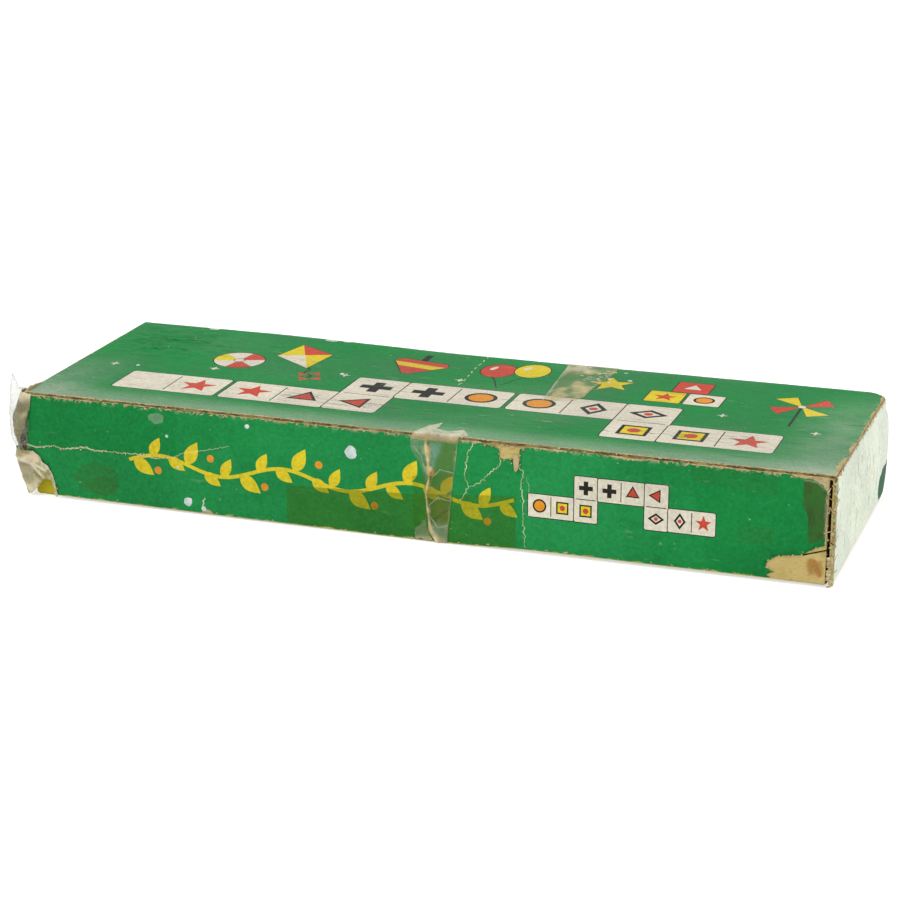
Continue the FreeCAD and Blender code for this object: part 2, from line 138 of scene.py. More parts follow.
def oblong(length, width, corner=0.0):
    """Rectangle about the origin with rounded corners."""
    points = []
    for quarter in range(4):
        middle_u = (length / 2 - corner) * (1 if quarter in (0, 3) else -1)
        middle_v = (width / 2 - corner) * (1 if quarter < 2 else -1)
        for step in range(4):
            a = math.pi / 2 * (quarter + step / 3)
            points.append((middle_u + corner * math.cos(a), middle_v + corner * math.sin(a)))
    return points


def spiked(tips, outer=1.0, inner=1.0):
    """Star, or a plain polygon when inner reaches its sides, with a tip at the top."""
    points = []
    for index in range(2 * tips):
        reach = inner if index % 2 else outer
        a = math.pi / 2 + math.pi * index / tips
        points.append((reach * math.cos(a), reach * math.sin(a)))
    return points


def sides(points, closed):
    """Unit normals to the right of the way along the points."""
    last = len(points) - 1
    normals = []
    for index in range(len(points)):
        before = points[index - 1] if index or closed else points[0]
        after = points[(index + 1) % len(points)] if index < last or closed else points[last]
        du = after[0] - before[0]
        dv = after[1] - before[1]
        size = math.hypot(du, dv) or 1.0
        normals.append((dv / size, -du / size))
    return normals


def grown(points, margin):
    """The outline, moved outwards by a margin."""
    points = ccw(points)
    return [(p[0] + n[0] * margin, p[1] + n[1] * margin) for p, n in zip(points, sides(points, True))]


def along(path, step):
    """Points at even steps along a path."""
    points = [path[0]]
    for start, end in zip(path, path[1:]):
        count = max(1, round(math.dist(start, end) / step))
        points += [mixed(start, end, (index + 1) / count) for index in range(count)]
    return points


def stroke(path, half_widths):
    """Outline round a path with a half width at each point."""
    normals = sides(path, False)
    there = [(p[0] + n[0] * h, p[1] + n[1] * h) for p, n, h in zip(path, normals, half_widths)]
    back_again = [(p[0] - n[0] * h, p[1] - n[1] * h) for p, n, h in zip(path, normals, half_widths)]
    return there + back_again[::-1]


def crack(path, widths, seed, sway=0.35, step=0.7):
    """Ragged strip along a path, as wide as the given widths from its start to its end."""
    centre = along(path, step)
    points = []
    halves = []
    for index, (u, v) in enumerate(centre):
        t = index / (len(centre) - 1)
        slot = min(int(t * (len(widths) - 1)), len(widths) - 2)
        wide = widths[slot] + (widths[slot + 1] - widths[slot]) * (t * (len(widths) - 1) - slot)
        points.append((u + sway * waver(seed, index * 0.43), v + sway * waver(seed + 40, index * 0.41)))
        halves.append(wide / 2 * (0.75 + 0.6 * abs(waver(seed + 80, index * 0.6))))
    return stroke(points, halves)


def jagged(outline, seed, sway=0.35, step=0.8):
    """Outline with a fine torn edge."""
    points = along(outline + outline[:1], step)[:-1]
    return [(u + sway * waver(seed, u, v), v + sway * waver(seed + 3, u, v)) for u, v in points]


def gap_to(path, spot):
    """Distance of a spot from a path."""
    best = math.inf
    for start, end in zip(path, path[1:]):
        run = (end[0] - start[0], end[1] - start[1])
        share = (spot[0] - start[0]) * run[0] + (spot[1] - start[1]) * run[1]
        share = min(1.0, max(0.0, share / (run[0] ** 2 + run[1] ** 2)))
        best = min(best, math.dist(spot, mixed(start, end, share)))
    return best


def beside(paths, u, v, start, end):
    """1 on the paths, falling to 0 from one distance off them to another."""
    return 1 - smooth(min(gap_to(path, (u, v)) for path in paths), start, end)


# Crushed upright corner at the back right
DENT = 2.7
DENT_REACH = 10.0
DENT_HEIGHT = 11.0
DENT_DROP = 0.4
FOOT_SHARE = 0.1


def dented(point):
    """Point moved in with the crushed corner."""
    gap = max(0.0, HALF_LENGTH - point.x + HALF_WIDTH - point.y)
    upper = smooth(point.z, TOP - DENT_HEIGHT, TOP)
    deep = DENT * (FOOT_SHARE + (1 - FOOT_SHARE) * upper) * max(0.0, 1 - gap / DENT_REACH) ** 2
    return point - Vector((deep, deep, DENT_DROP * deep * upper))


# Lifted back left, sagging front rim and bowed right end of the lid
LIFT = 1.6
LIFT_REACH = 110
LIFT_HEIGHT = 20
FRONT_LIFT_SHARE = 0.15
SAG = 1.2
SAG_START = -230
SAG_END = (14, 54)
SAG_EASE = 0.8
SAG_DEPTH = (10, 40)
SAG_HEIGHT = 0.7
BOW = 1.4
BOW_REACH = (4, 12)
BOW_SPAN = 45
FLOOR_GAP = 0.15


def warped(point):
    """Point of the lid, moved with its crushed corner and bent walls."""
    back_share = (point.y + HALF_WIDTH) / (2 * HALF_WIDTH)
    lift = LIFT * smooth(-point.x, 0, LIFT_REACH) * smooth(point.z, TOP - LIFT_HEIGHT, TOP)
    lift *= FRONT_LIFT_SHARE + (1 - FRONT_LIFT_SHARE) * back_share
    sag = SAG * smooth(point.x, SAG_START, 0) * (1 - SAG_EASE * smooth(point.x, *SAG_END))
    sag *= 1 - smooth(point.z, RIM, SAG_HEIGHT * TOP)
    sag *= 1 - smooth(point.y + HALF_WIDTH, *SAG_DEPTH)
    sag = min(sag, max(0.0, point.z - FLOOR_GAP))
    bow = BOW * (1 - ((point.z - TOP / 2) / (TOP / 2)) ** 2) * smooth(point.y, -BOW_SPAN, BOW_SPAN)
    bow *= 1 - smooth(HALF_LENGTH - point.x, *BOW_REACH)
    return dented(point) + Vector((bow, 0, lift - sag))


# Panels of the lid, unrolled
FOLD_ROWS = (0.0, 0.45, 0.9)
FOLD_STEP = 2.0
RIM_ROWS = 8
RIM_STEP = 5.0
GUIDE_ROWS = (0, 2)
GUIDE_STEP = 1.2


class Panel:
    """An outside face of the lid: u to the right and v up it, rolled round the folds at its sides."""

    def __init__(self, origin, across, up, half, low, high, hem):
        self.origin = Vector(origin)
        self.across = Vector(across)
        self.up = Vector(up)
        self.out = self.across.cross(self.up)
        self.left = FOLD - half
        self.right = half - FOLD
        self.low = low
        self.high = high
        self.hem = hem
        self.u0 = self.left - HALF_FOLD
        self.u1 = self.right + HALF_FOLD
        self.v0 = low - (math.pi * ROLL + hem if hem else HALF_FOLD)
        self.v1 = high + HALF_FOLD

    def place(self, u, v, lift=0.0):
        """Point in the box's frame, lifted off the paper."""
        over_u = max(u - self.right, 0) - max(self.left - u, 0)
        over_v = max(v - self.high, 0) - max(self.low - v, 0)
        base_u = u - over_u
        base_v = v - over_v
        if self.hem and over_v < 0:
            return self.tuck(u, -over_v, lift)
        reach = math.hypot(over_u, over_v)
        depth = -lift
        if reach:
            out = (FOLD + lift) * math.sin(reach / FOLD) / reach
            depth = FOLD - (FOLD + lift) * math.cos(reach / FOLD)
            base_u += out * over_u
            base_v += out * over_v
        return warped(self.origin + self.across * base_u + self.up * base_v - self.out * depth)

    def tuck(self, u, run, lift):
        """Point where the paper rolls under the rim and up inside."""
        if run < math.pi * ROLL:
            height = self.low - (ROLL + lift) * math.sin(run / ROLL)
            depth = ROLL - (ROLL + lift) * math.cos(run / ROLL)
        else:
            height = self.low + run - math.pi * ROLL
            depth = 2 * ROLL + lift
        return warped(self.origin + self.across * u + self.up * height - self.out * depth)

    def grid(self, spacing, rng):
        """Points that keep the sheet's triangles small, with rows along the folds."""
        points = []
        for u in spread(self.u0, self.u1, spacing):
            for v in spread(self.v0, self.v1, spacing):
                jitter = [rng.uniform(-0.3, 0.3) * spacing for _ in range(2)]
                points.append((u + jitter[0], v + jitter[1]))
        for over in FOLD_ROWS:
            for u in spread(self.u0, self.u1, FOLD_STEP):
                points.append((u, self.high + over))
                if not self.hem:
                    points.append((u, self.low - over))
            for v in spread(self.v0, self.v1, FOLD_STEP):
                points += [(self.left - over, v), (self.right + over, v)]
        if self.hem:
            for row in range(RIM_ROWS + 1):
                level = self.low - math.pi * ROLL * row / RIM_ROWS
                points += [(u, level) for u in spread(self.u0, self.u1, RIM_STEP)]
        return points

    def guides(self):
        """Strips along the rim that keep triangles from cutting across its roll."""
        strips = []
        for row in GUIDE_ROWS if self.hem else ():
            upper, lower = [self.low - math.pi * ROLL * (row + side) / RIM_ROWS for side in (0, 1)]
            outline = [(u, lower) for u in spread(self.u0, self.u1, GUIDE_STEP)]
            outline += [(u, upper) for u in spread(self.u1, self.u0, GUIDE_STEP)]
            strips.append(Layer("guide", outline))
        return strips

    def wave(self, u, v):
        """Slight unevenness of the glued paper."""
        return 0.07 * waver(3, u / 28, v / 14) + 0.03 * waver(4, u / 7, v / 5)


wall_low = RIM + ROLL
wall_high = TOP - FOLD
top = Panel((0, 0, TOP), (1, 0, 0), (0, 1, 0), HALF_LENGTH, FOLD - HALF_WIDTH, HALF_WIDTH - FOLD, 0.0)
front = Panel((0, -HALF_WIDTH, 0), (1, 0, 0), (0, 0, 1), HALF_LENGTH, wall_low, wall_high, HEM)
back = Panel((0, HALF_WIDTH, 0), (-1, 0, 0), (0, 0, 1), HALF_LENGTH, wall_low, wall_high, HEM)
right = Panel((HALF_LENGTH, 0, 0), (0, 1, 0), (0, 0, 1), HALF_WIDTH, wall_low, wall_high, HEM)
left = Panel((-HALF_LENGTH, 0, 0), (0, -1, 0), (0, 0, 1), HALF_WIDTH, wall_low, wall_high, HEM)


# Materials
class Shader:
    """Node material built a step at a time from sockets and numbers."""

    def __init__(self, name, **fixed):
        self.material = bpy.data.materials.new(name)
        self.material.use_nodes = True
        self.tree = self.material.node_tree
        self.surface = self.tree.nodes["Principled BSDF"]
        for socket, value in fixed.items():
            self.surface.inputs[socket.replace("_", " ")].default_value = value
        self.spot = self.add("ShaderNodeTexCoord").outputs["Object"]

    def add(self, kind, inputs=None, **settings):
        """New node with its settings made and its inputs linked or set."""
        made = self.tree.nodes.new(kind)
        for key, value in settings.items():
            setattr(made, key, value)
        for key, value in (inputs or {}).items():
            if isinstance(value, bpy.types.NodeSocket):
                self.tree.links.new(value, made.inputs[key])
            else:
                made.inputs[key].default_value = value
        return made

    def grain(self, scale, detail=3.0, stretch=(1.0, 1.0, 1.0)):
        """Noise from 0 to 1, stretched by unequal scales."""
        scaled = self.add("ShaderNodeVectorMath", {0: self.spot, 1: stretch}, operation="MULTIPLY")
        inputs = {"Vector": scaled.outputs[0], "Scale": scale, "Detail": detail}
        return self.add("ShaderNodeTexNoise", inputs).outputs["Fac"]

    def span(self, value, start, end, first=0.0, last=1.0):
        """The value's run from start to end, turned into first to last."""
        inputs = {"Value": value, "From Min": start, "From Max": end, "To Min": first, "To Max": last}
        return self.add("ShaderNodeMapRange", inputs).outputs["Result"]

    def math(self, operation, first, second=0.0):
        """Result of an operation on one or two values."""
        return self.add("ShaderNodeMath", {0: first, 1: second}, operation=operation).outputs[0]

    def blend(self, factor, first, second, mode="MIX"):
        """Colour mixed from two."""
        four = [c if isinstance(c, bpy.types.NodeSocket) else (*c, 1.0) for c in (first, second)]
        inputs = {0: factor, 6: four[0], 7: four[1]}
        return self.add("ShaderNodeMix", inputs, data_type="RGBA", blend_type=mode).outputs[2]

    def shaded(self, colour, value):
        """Colour multiplied by a value about 1."""
        grey = self.add("ShaderNodeCombineColor", {0: value, 1: value, 2: value}).outputs[0]
        return self.blend(1.0, colour, grey, "MULTIPLY")

    def ink(self):
        """Printed colour that the mesh carries."""
        return self.add("ShaderNodeAttribute", attribute_name="ink").outputs

    def link(self, socket, value):
        """Feeds a socket of the surface."""
        self.tree.links.new(value, self.surface.inputs[socket])

    def bump(self, height, depth, strength=1.0):
        """Surface relief of a depth in millimetres."""
        inputs = {"Height": height, "Distance": depth * MM, "Strength": strength}
        self.link("Normal", self.add("ShaderNodeBump", inputs).outputs[0])

    def axes(self):
        """Coordinates of the spot, one by one."""
        return self.add("ShaderNodeSeparateXYZ", {0: self.spot}).outputs

    def edge(self):
        """Distance from the lid's nearest fold, in millimetres."""
        axes = self.axes()
        gaps = [self.math("SUBTRACT", TOP * MM, axes[2])]
        for half, axis in ((HALF_LENGTH, axes[0]), (HALF_WIDTH, axes[1])):
            gaps.append(self.math("SUBTRACT", half * MM, self.math("ABSOLUTE", axis)))
        inner = self.math("MINIMUM", self.math("MAXIMUM", gaps[1], gaps[2]), gaps[0])
        second = self.math("MAXIMUM", self.math("MINIMUM", gaps[1], gaps[2]), inner)
        return self.math("DIVIDE", second, MM)


def printed_paper():
    """Printed box paper: mottled ink, rubbed edges, and fine streaks on the top."""
    s = Shader("printed_paper", Specular_IOR_Level=0.07)
    colour = s.ink()["Color"]
    upper = s.span(s.axes()[2], (TOP - 1.4) * MM, (TOP - 0.6) * MM, 0.3, 1.0)
    mottle = s.grain(22, 4)
    fine = s.grain(800, 3)
    streak = s.grain(1, 4, (120, 640, 640))
    tone = s.math("ADD", s.span(mottle, 0.3, 0.7, 0.85, 1.14), s.span(fine, 0.25, 0.75, -0.17, 0.17))
    tone = s.math("ADD", tone, s.math("MULTIPLY", upper, s.span(streak, 0.3, 0.7, -0.09, 0.09)))
    colour = s.shaded(colour, tone)
    fleck = s.span(s.grain(520, 4), 0.70, 0.75, 0.0, 0.4)
    scratch = s.math("MULTIPLY", upper, s.span(s.grain(1, 3, (70, 560, 320)), 0.69, 0.75, 0.0, 0.34))
    colour = s.blend(s.math("MAXIMUM", fleck, scratch), colour, (0.60, 0.62, 0.48))
    crease = s.math("MULTIPLY", upper, s.span(s.grain(1, 5, (45, 420, 260)), 0.65, 0.70, 0.0, 0.4))
    colour = s.blend(crease, colour, (0.02, 0.10, 0.04))
    rub = s.math("MULTIPLY", s.span(s.edge(), 0.8, 2.7, 0.65, 0.0), s.span(s.grain(420, 5), 0.53, 0.60))
    colour = s.blend(rub, colour, (0.56, 0.52, 0.36))
    s.link("Base Color", colour)
    s.link("Roughness", s.span(mottle, 0.3, 0.7, 0.46, 0.62))
    s.bump(s.math("SUBTRACT", s.math("ADD", fine, streak), crease), 0.05, 0.5)
    return s.material


def fibrous(name, pale, mid, deep, scale):
    """Torn paper or board: fibres and blotches between three tones."""
    s = Shader(name, Specular_IOR_Level=0.1, Roughness=0.88)
    blotch = s.grain(70 * scale, 5)
    fibre = s.grain(1, 4, (420 * scale, 420 * scale, 1500 * scale))
    colour = s.blend(s.span(blotch, 0.36, 0.64), mid, pale)
    colour = s.blend(s.span(fibre, 0.52, 0.72, 0.0, 0.75), colour, deep)
    s.bump(s.math("ADD", blotch, fibre), 0.25, 0.8)
    return s, colour


def lid_greyboard():
    """Tan board of the lid, darker along its folds near the top."""
    s, colour = fibrous("lid_greyboard", (0.67, 0.52, 0.21), (0.59, 0.45, 0.16), (0.42, 0.30, 0.10), 1.0)
    axes = s.axes()
    upper = s.span(axes[2], (TOP - 6) * MM, (TOP - 3) * MM)
    folds = s.span(s.edge(), 0.9, 2.0, 1.0, 0.0)
    # Darker along the folds near the top, most along the front
    fold_dark = s.math("MULTIPLY", folds, s.span(s.grain(260, 3), 0.3, 0.6, 0.45, 0.95))
    along_front = s.span(axes[1], (8 - HALF_WIDTH) * MM, (12 - HALF_WIDTH) * MM, 1.0, 0.35)
    fold_dark = s.math("MULTIPLY", s.math("MULTIPLY", fold_dark, upper), along_front)
    s.link("Base Color", s.blend(fold_dark, colour, (0.085, 0.050, 0.026)))
    return s.material


def plain_fibres(name, pale, mid, deep, scale):
    """Board, kraft paper or torn paper with no more than its fibres."""
    s, colour = fibrous(name, pale, mid, deep, scale)
    s.link("Base Color", colour)
    return s.material


def tray_yellow():
    """Yellow tray paper, scuffed, with painted shadow where it shows through the slit at the lid's open
    corner.
    """
    s = Shader("tray_yellow", Specular_IOR_Level=0.15)
    mottle = s.grain(26, 4)
    fine = s.grain(1300, 2)
    tone = s.math("ADD", s.span(mottle, 0.3, 0.7, 0.88, 1.06), s.span(fine, 0.25, 0.75, -0.07, 0.07))
    base = s.blend(s.span(s.grain(9, 3), 0.35, 0.65), (0.60, 0.52, 0.02), (0.66, 0.55, 0.045))
    colour = s.shaded(base, tone)
    scuff = s.span(s.grain(240, 5), 0.64, 0.74, 0.0, 0.5)
    colour = s.blend(scuff, colour, (0.72, 0.66, 0.42))
    axes = s.axes()
    # Painted shadow: the tray paper darkens at its front right corner, behind the slit in the lid's corner
    at_right = s.span(axes[0], (HALF_LENGTH - 8.5) * MM, (HALF_LENGTH - 6.5) * MM, 0.0, 0.95)
    at_front = s.span(axes[1], (5 - HALF_WIDTH) * MM, (7 - HALF_WIDTH) * MM, 1.0, 0.0)
    slit_shadow = s.math("MULTIPLY", at_right, at_front)
    s.link("Base Color", s.blend(slit_shadow, colour, (0.022, 0.015, 0.008)))
    s.link("Roughness", s.span(mottle, 0.3, 0.7, 0.5, 0.66))
    s.bump(fine, 0.04, 0.5)
    return s.material


def aged_tape():
    """Old clear tape: the mesh carries its tint and how milky it has become."""
    s = Shader("aged_tape", Roughness=0.28, Specular_IOR_Level=0.35)
    tint = s.ink()
    cloud = s.grain(150, 4)
    crease = s.grain(1, 4, (900, 300, 500))
    s.link("Base Color", s.shaded(tint["Color"], s.span(cloud, 0.3, 0.7, 0.82, 1.12)))
    thick = s.math("MULTIPLY", tint["Alpha"], s.span(cloud, 0.3, 0.7, 0.7, 1.25))
    thick = s.math("ADD", thick, s.span(crease, 0.60, 0.74, 0.0, 0.12))
    s.link("Alpha", s.math("MINIMUM", thick, 0.97))
    s.bump(s.math("ADD", cloud, crease), 0.12, 0.6)
    return s.material


def wall_paint():
    """Dried drops of white paint."""
    s = Shader("paint_drops", Roughness=0.5)
    blotch = s.span(s.grain(420, 4), 0.35, 0.65)
    s.link("Base Color", s.blend(blotch, (0.52, 0.60, 0.58), (0.78, 0.82, 0.80)))
    s.bump(s.grain(900, 3), 0.05)
    return s.material


def painted_wood():
    """Pale beech with painted signs where the mesh carries ink."""
    s = Shader("painted_beech", Specular_IOR_Level=0.3)
    ring = s.grain(1, 5, (14, 160, 160))
    pore = s.grain(1, 3, (160, 1500, 1500))
    colour = s.blend(s.span(ring, 0.32, 0.68), (0.52, 0.33, 0.15), (0.68, 0.47, 0.25))
    colour = s.blend(s.span(pore, 0.6, 0.72, 0.0, 0.6), colour, (0.34, 0.19, 0.08))
    sign = s.ink()
    worn = s.math("MULTIPLY", sign["Alpha"], s.span(s.grain(500, 4), 0.62, 0.72, 1.0, 0.55))
    s.link("Base Color", s.blend(worn, colour, sign["Color"]))
    s.link("Roughness", s.span(pore, 0.3, 0.7, 0.42, 0.58))
    s.bump(pore, 0.06, 0.6)
    return s.material


def leaflet_print():
    """Thin yellowed paper with a little print."""
    s = Shader("leaflet_print", Specular_IOR_Level=0.1, Roughness=0.8)
    cloud = s.grain(35, 4)
    fibre = s.grain(900, 3)
    tone = s.math("ADD", s.span(cloud, 0.3, 0.7, 0.86, 1.04), s.span(fibre, 0.3, 0.7, -0.05, 0.05))
    s.link("Base Color", s.shaded(s.ink()["Color"], tone))
    s.bump(s.math("ADD", cloud, fibre), 0.08, 0.5)
    return s.material


PRINT = printed_paper()
CORE = plain_fibres("torn_paper", (0.66, 0.53, 0.29), (0.52, 0.39, 0.19), (0.31, 0.21, 0.09), 2.2)
LID_BOARD = lid_greyboard()
TRAY_BOARD = plain_fibres("tray_greyboard", (0.50, 0.44, 0.33), (0.42, 0.36, 0.26), (0.28, 0.23, 0.15), 1.0)
KRAFT = plain_fibres("kraft_stay", (0.69, 0.53, 0.21), (0.62, 0.47, 0.17), (0.44, 0.31, 0.10), 1.4)
TRAY_PAPER = tray_yellow()
TAPE = aged_tape()
PAINT = wall_paint()
WOOD = painted_wood()
LEAFLET = leaflet_print()


# Pieces
SHARP_EDGE = math.radians(28)


def add_piece(name, points, faces, materials, body, nodes=(), picks=None, inks=None):
    """Mesh piece from points in millimetres, riding on a body and standing for CAD nodes."""
    used = sorted({index for face in faces for index in face})
    renumbered = {old: new for new, old in enumerate(used)}
    mesh = bpy.data.meshes.new(name)
    corners = [[renumbered[index] for index in face] for face in faces]
    mesh.from_pydata([points[index] * MM for index in used], [], corners)
    for material in materials:
        mesh.materials.append(material)
    if picks:
        mesh.polygons.foreach_set("material_index", picks)
    if inks:
        layer = mesh.color_attributes.new("ink", "FLOAT_COLOR", "CORNER")
        layer.data.foreach_set("color", [part for ink in inks for part in ink])
    mesh.shade_smooth()
    piece = bpy.data.objects.new(name, mesh)
    bpy.context.scene.collection.objects.link(piece)
    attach(piece, body)
    if nodes:
        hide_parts(*nodes)
    return piece


def thicken(piece, thickness, offset=-1.0):
    """Gives a sheet its thickness; its cut edges take the next material."""
    skin = piece.modifiers.new("thickness", "SOLIDIFY")
    skin.thickness = thickness * MM
    skin.offset = offset
    skin.material_offset_rim = 1


def band(first, count):
    """Quads between a ring of points and the next ring."""
    quads = []
    for index in range(count):
        after = (index + 1) % count
        quads.append((first + index, first + count + index, first + count + after, first + after))
    return quads


def torn_line(path, widths, seed, sway=0.6, step=0.5, colour=TORN, amount=0.85):
    """Layers of a ragged torn line, one for each short stretch of it."""
    outline = crack(path, widths, seed, sway, step)
    pairs = list(zip(outline, outline[::-1]))[: len(outline) // 2]
    stretches = [before + after for before, after in zip(pairs, pairs[1:])]
    hulls = [[four[index] for index in geometry.convex_hull_2d(four)] for four in stretches]
    return [Layer("print", hull, colour, amount) for hull in hulls]


def ink_at(layers, inside):
    """Colour of a spot inside the given layers, BARE where the ink is gone, None where the paper is."""
    kinds = {layers[index].kind for index in inside}
    if "paper" not in kinds or "hole" in kinds:
        return None
    if "ink" not in kinds or "bare" in kinds:
        return BARE
    colour = GREEN
    for index in sorted(inside):
        layer = layers[index]
        if layer.kind in ("print", "tint"):
            colour = mixed(colour, layer.colour, layer.amount)
    return colour


def last_print(layers, inside):
    """Colour of the uppermost print that a triangle is inside, None on plain ground."""
    shades = [layers[index].colour for index in sorted(inside) if layers[index].kind == "print"]
    return shades[-1] if shades else None


def triangulate(layers, extra):
    """Points and triangles that follow every layer's outline, with the layers each triangle is inside."""
    spots = []
    faces = []
    for layer in layers:
        outline = ccw(list(layer.outline))
        faces.append(list(range(len(spots), len(spots) + len(outline))))
        spots += outline
    spots += extra
    found = geometry.delaunay_2d_cdt([Vector(spot) for spot in spots], [], faces, 0, 1e-4, True)
    return found[0], found[2], found[5]


def mosaic(name, panel, layers, haze=None, spacing=4.0, nodes=(), wrinkle=None, fine=()):
    """Sheet of box paper on a panel, cut along the layers and coloured by them."""
    layers = layers + panel.guides()
    spots, triangles, owners = triangulate(layers, panel.grid(spacing, random.Random(name)) + list(fine))
    faces = []
    picks = []
    inks = []
    for triangle, inside in zip(triangles, owners):
        colour = ink_at(layers, inside)
        if colour is None:
            continue
        faces.append(triangle)
        picks.append(int(colour == BARE))
        base = CREAM if colour == BARE else colour
        for corner in triangle:
            veil = haze(*spots[corner]) if haze else 0.0
            inks.append((*mixed(base, HAZE_AND_SHEEN, veil), 1.0))
    lifts = [panel.wave(*spot) + (wrinkle(*spot) if wrinkle else 0.0) for spot in spots]
    points = [panel.place(*spot, lift) for spot, lift in zip(spots, lifts)]
    piece = add_piece(name, points, faces, (PRINT, CORE), "lid", nodes, picks, inks)
    thicken(piece, PAPER)


# Worn outlines
NOTCH_TOP = wall_low - 0.2
SIDE_NOTCH = 2.9
SLIT_NOTCH = 1.0


def frayed(seed, base, depth, chips=(), notch=0.0):
    """How far a worn edge is eaten away at each place along it."""

    def eaten(t):
        rough = 0.4 + 0.5 * waver(seed, t * 0.06) + 0.5 * waver(seed, t * 0.5) + 0.3 * waver(seed, t * 1.6)
        worn = base + depth * max(0.0, rough)
        for centre, reach, deep in chips:
            near = abs(t - centre) / reach
            if near < 1:
                worn += deep * math.sqrt(1 - near * near) * (0.8 + 0.5 * waver(seed + 9, t * 1.1))
        return worn + (notch if t < NOTCH_TOP else 0.0)

    return eaten


def worn_outline(panel, low, right_side, high, left_side, step=0.9):
    """Outline of a panel with each side eaten away."""

    def level(point):
        return panel.u0 + left_side(point[1]) < point[0] < panel.u1 - right_side(point[1])

    def upright(point):
        return panel.v0 + low(point[0]) < point[1] < panel.v1 - high(point[0])

    rows = [
        (level, [(u, panel.v0 + low(u)) for u in spread(panel.u0, panel.u1, step)]),
        (upright, [(panel.u1 - right_side(v), v) for v in spread(panel.v0, panel.v1, step)]),
        (level, [(u, panel.v1 - high(u)) for u in spread(panel.u1, panel.u0, step)]),
        (upright, [(panel.u0 + left_side(v), v) for v in spread(panel.v1, panel.v0, step)]),
    ]
    return [point for fits, row in rows for point in row if fits(point)]


def worn_sheet(panel, seed, paper, ink):
    """Paper and ink layers of a panel, from the wear of each side but a hem: low, right, high, left."""
    layers = []
    for kind, wear in (("paper", paper), ("ink", ink)):
        edges = [frayed(seed + index, *side) for index, side in enumerate(wear)]
        if panel.hem:
            edges.insert(0, frayed(seed, 0.0, 0.0))
        layers.append(Layer(kind, worn_outline(panel, *edges)))
        seed += len(wear)
    return layers


def rim_wear(panel, seed, start=0.85, kind="bare", colour=None, amount=1.0):
    """Ragged strip along the rim where the ink is rubbed off or stained."""
    run = spread(panel.u0, panel.u1, 0.8)
    upper = []
    for u in run:
        ragged = max(0.0, waver(seed, u * 0.35) + 0.3 * waver(seed, u * 1.3))
        upper.append((u, panel.low - start + ragged))
    lower = [(u, panel.low - 2.0 - 0.4 * waver(seed + 5, u * 0.4)) for u in run]
    return Layer(kind, upper + lower[::-1], colour, amount)


# Print
TOP_DOMINO = 46
MINI_DOMINO = 18.5
FINE_LINE = 0.35
SIGN_SHARE = 0.3
KITE_TURN = 24
LEAF_LENGTH = 11.0
LEAF_WIDTH = 2.9


def flat(colour, outline):
    """Printed shape."""
    return [Layer("print", outline, colour)]


def lined(colour, outline, line=0.5):
    """Printed shape with a dark line round it."""
    return flat(DARK, grown(outline, line)) + flat(colour, outline)


plus = [(-1, -0.32), (-0.32, -0.32), (-0.32, -1), (0.32, -1), (0.32, -0.32), (1, -0.32)]
plus += [(-u, -v) for u, v in plus]
SYMBOLS = [
    [],
    [(DARK, disc()), (ORANGE, disc(0.76))],
    [(DARK, spiked(3, 1.15, 0.575)), (RED, spiked(3, 0.8, 0.4))],
    [(DARK, oblong(1.8, 1.8)), (YELLOW, oblong(1.36, 1.36)), (RED, disc(0.4))],
    [(RED, spiked(5, 1.2, 0.5))],
    [(DARK, plus)],
    [(DARK, spiked(2, 1.2, 0.85)), (CREAM, spiked(2, 0.72, 0.5)), (RED, disc(0.28))],
]


def domino(across, up, turn, length, pair, line=0.5):
    """Printed domino with two symbols."""
    width = length / 2
    layers = lined(CREAM, moved(oblong(length, width, width * 0.07), across, up, turn), line)
    layers += flat(DARK, moved(oblong(line, width * 0.86), across, up, turn))
    for side, kind in zip((-1, 1), pair):
        shift = side * length / 4
        middle = moved([(shift, 0)], across, up, turn)[0]
        for colour, outline in SYMBOLS[kind]:
            layers += flat(colour, moved(outline, *middle, turn, width * SIGN_SHARE))
    return layers


def ball(across, up, size):
    """Printed ball of six coloured sectors."""
    layers = lined(CREAM, moved(disc(size, count=36), across, up))
    for index, colour in enumerate((RED, YELLOW, RED)):
        sector = [(0, 0)] + [
            (math.cos(math.radians(a)), math.sin(math.radians(a)))
            for a in spread(index * 120, index * 120 + 60, 10)
        ]
        layers += flat(colour, moved(sector, across, up, 20, size))
    return layers + lined(CREAM, moved(disc(size * 0.2), across, up), 0.4)


def kite(across, up, size):
    """Printed kite with a bow on its tail."""
    corners = [(0, 1.25), (0.8, 0.2), (0, -1.1), (-0.8, 0.2)]
    tail = [(0.1 * math.sin(t * 2.2), -1.1 - 0.22 * t) for t in spread(0, 5, 0.5)]
    layers = flat(DARK, moved(stroke(tail, [0.03] * len(tail)), across, up, KITE_TURN, size))
    for place in (-1.7, -2.15):
        for side in (-1, 1):
            wing = [(0.05, place), (0.05 + side * 0.3, place + 0.16), (0.05 + side * 0.3, place - 0.16)]
            layers += flat(RED, moved(wing, across, up, KITE_TURN, size))
    layers += lined(YELLOW, moved(corners, across, up, KITE_TURN, size))
    for first in (0, 2):
        quarter = [corners[first], corners[first + 1], (0, 0.2)]
        layers += flat((RED, CREAM)[first // 2], moved(quarter, across, up, KITE_TURN, size))
    return layers


def spinning_top(across, up, size):
    """Printed spinning top with a stripe and a peg."""
    body = [(-1, 0.25), (-0.8, 0.55), (0.8, 0.55), (1, 0.25), (0.12, -1), (-0.12, -1)]
    stripe = [(-0.93, 0.15), (0.93, 0.15), (0.62, -0.25), (-0.62, -0.25)]
    layers = lined(DARK, moved(oblong(0.2, 0.9), across, up + size * 0.8, 0, size), 0.2)
    layers += lined(RED, moved(body, across, up, -8, size))
    return layers + flat(YELLOW, moved(stripe, across, up, -8, size))


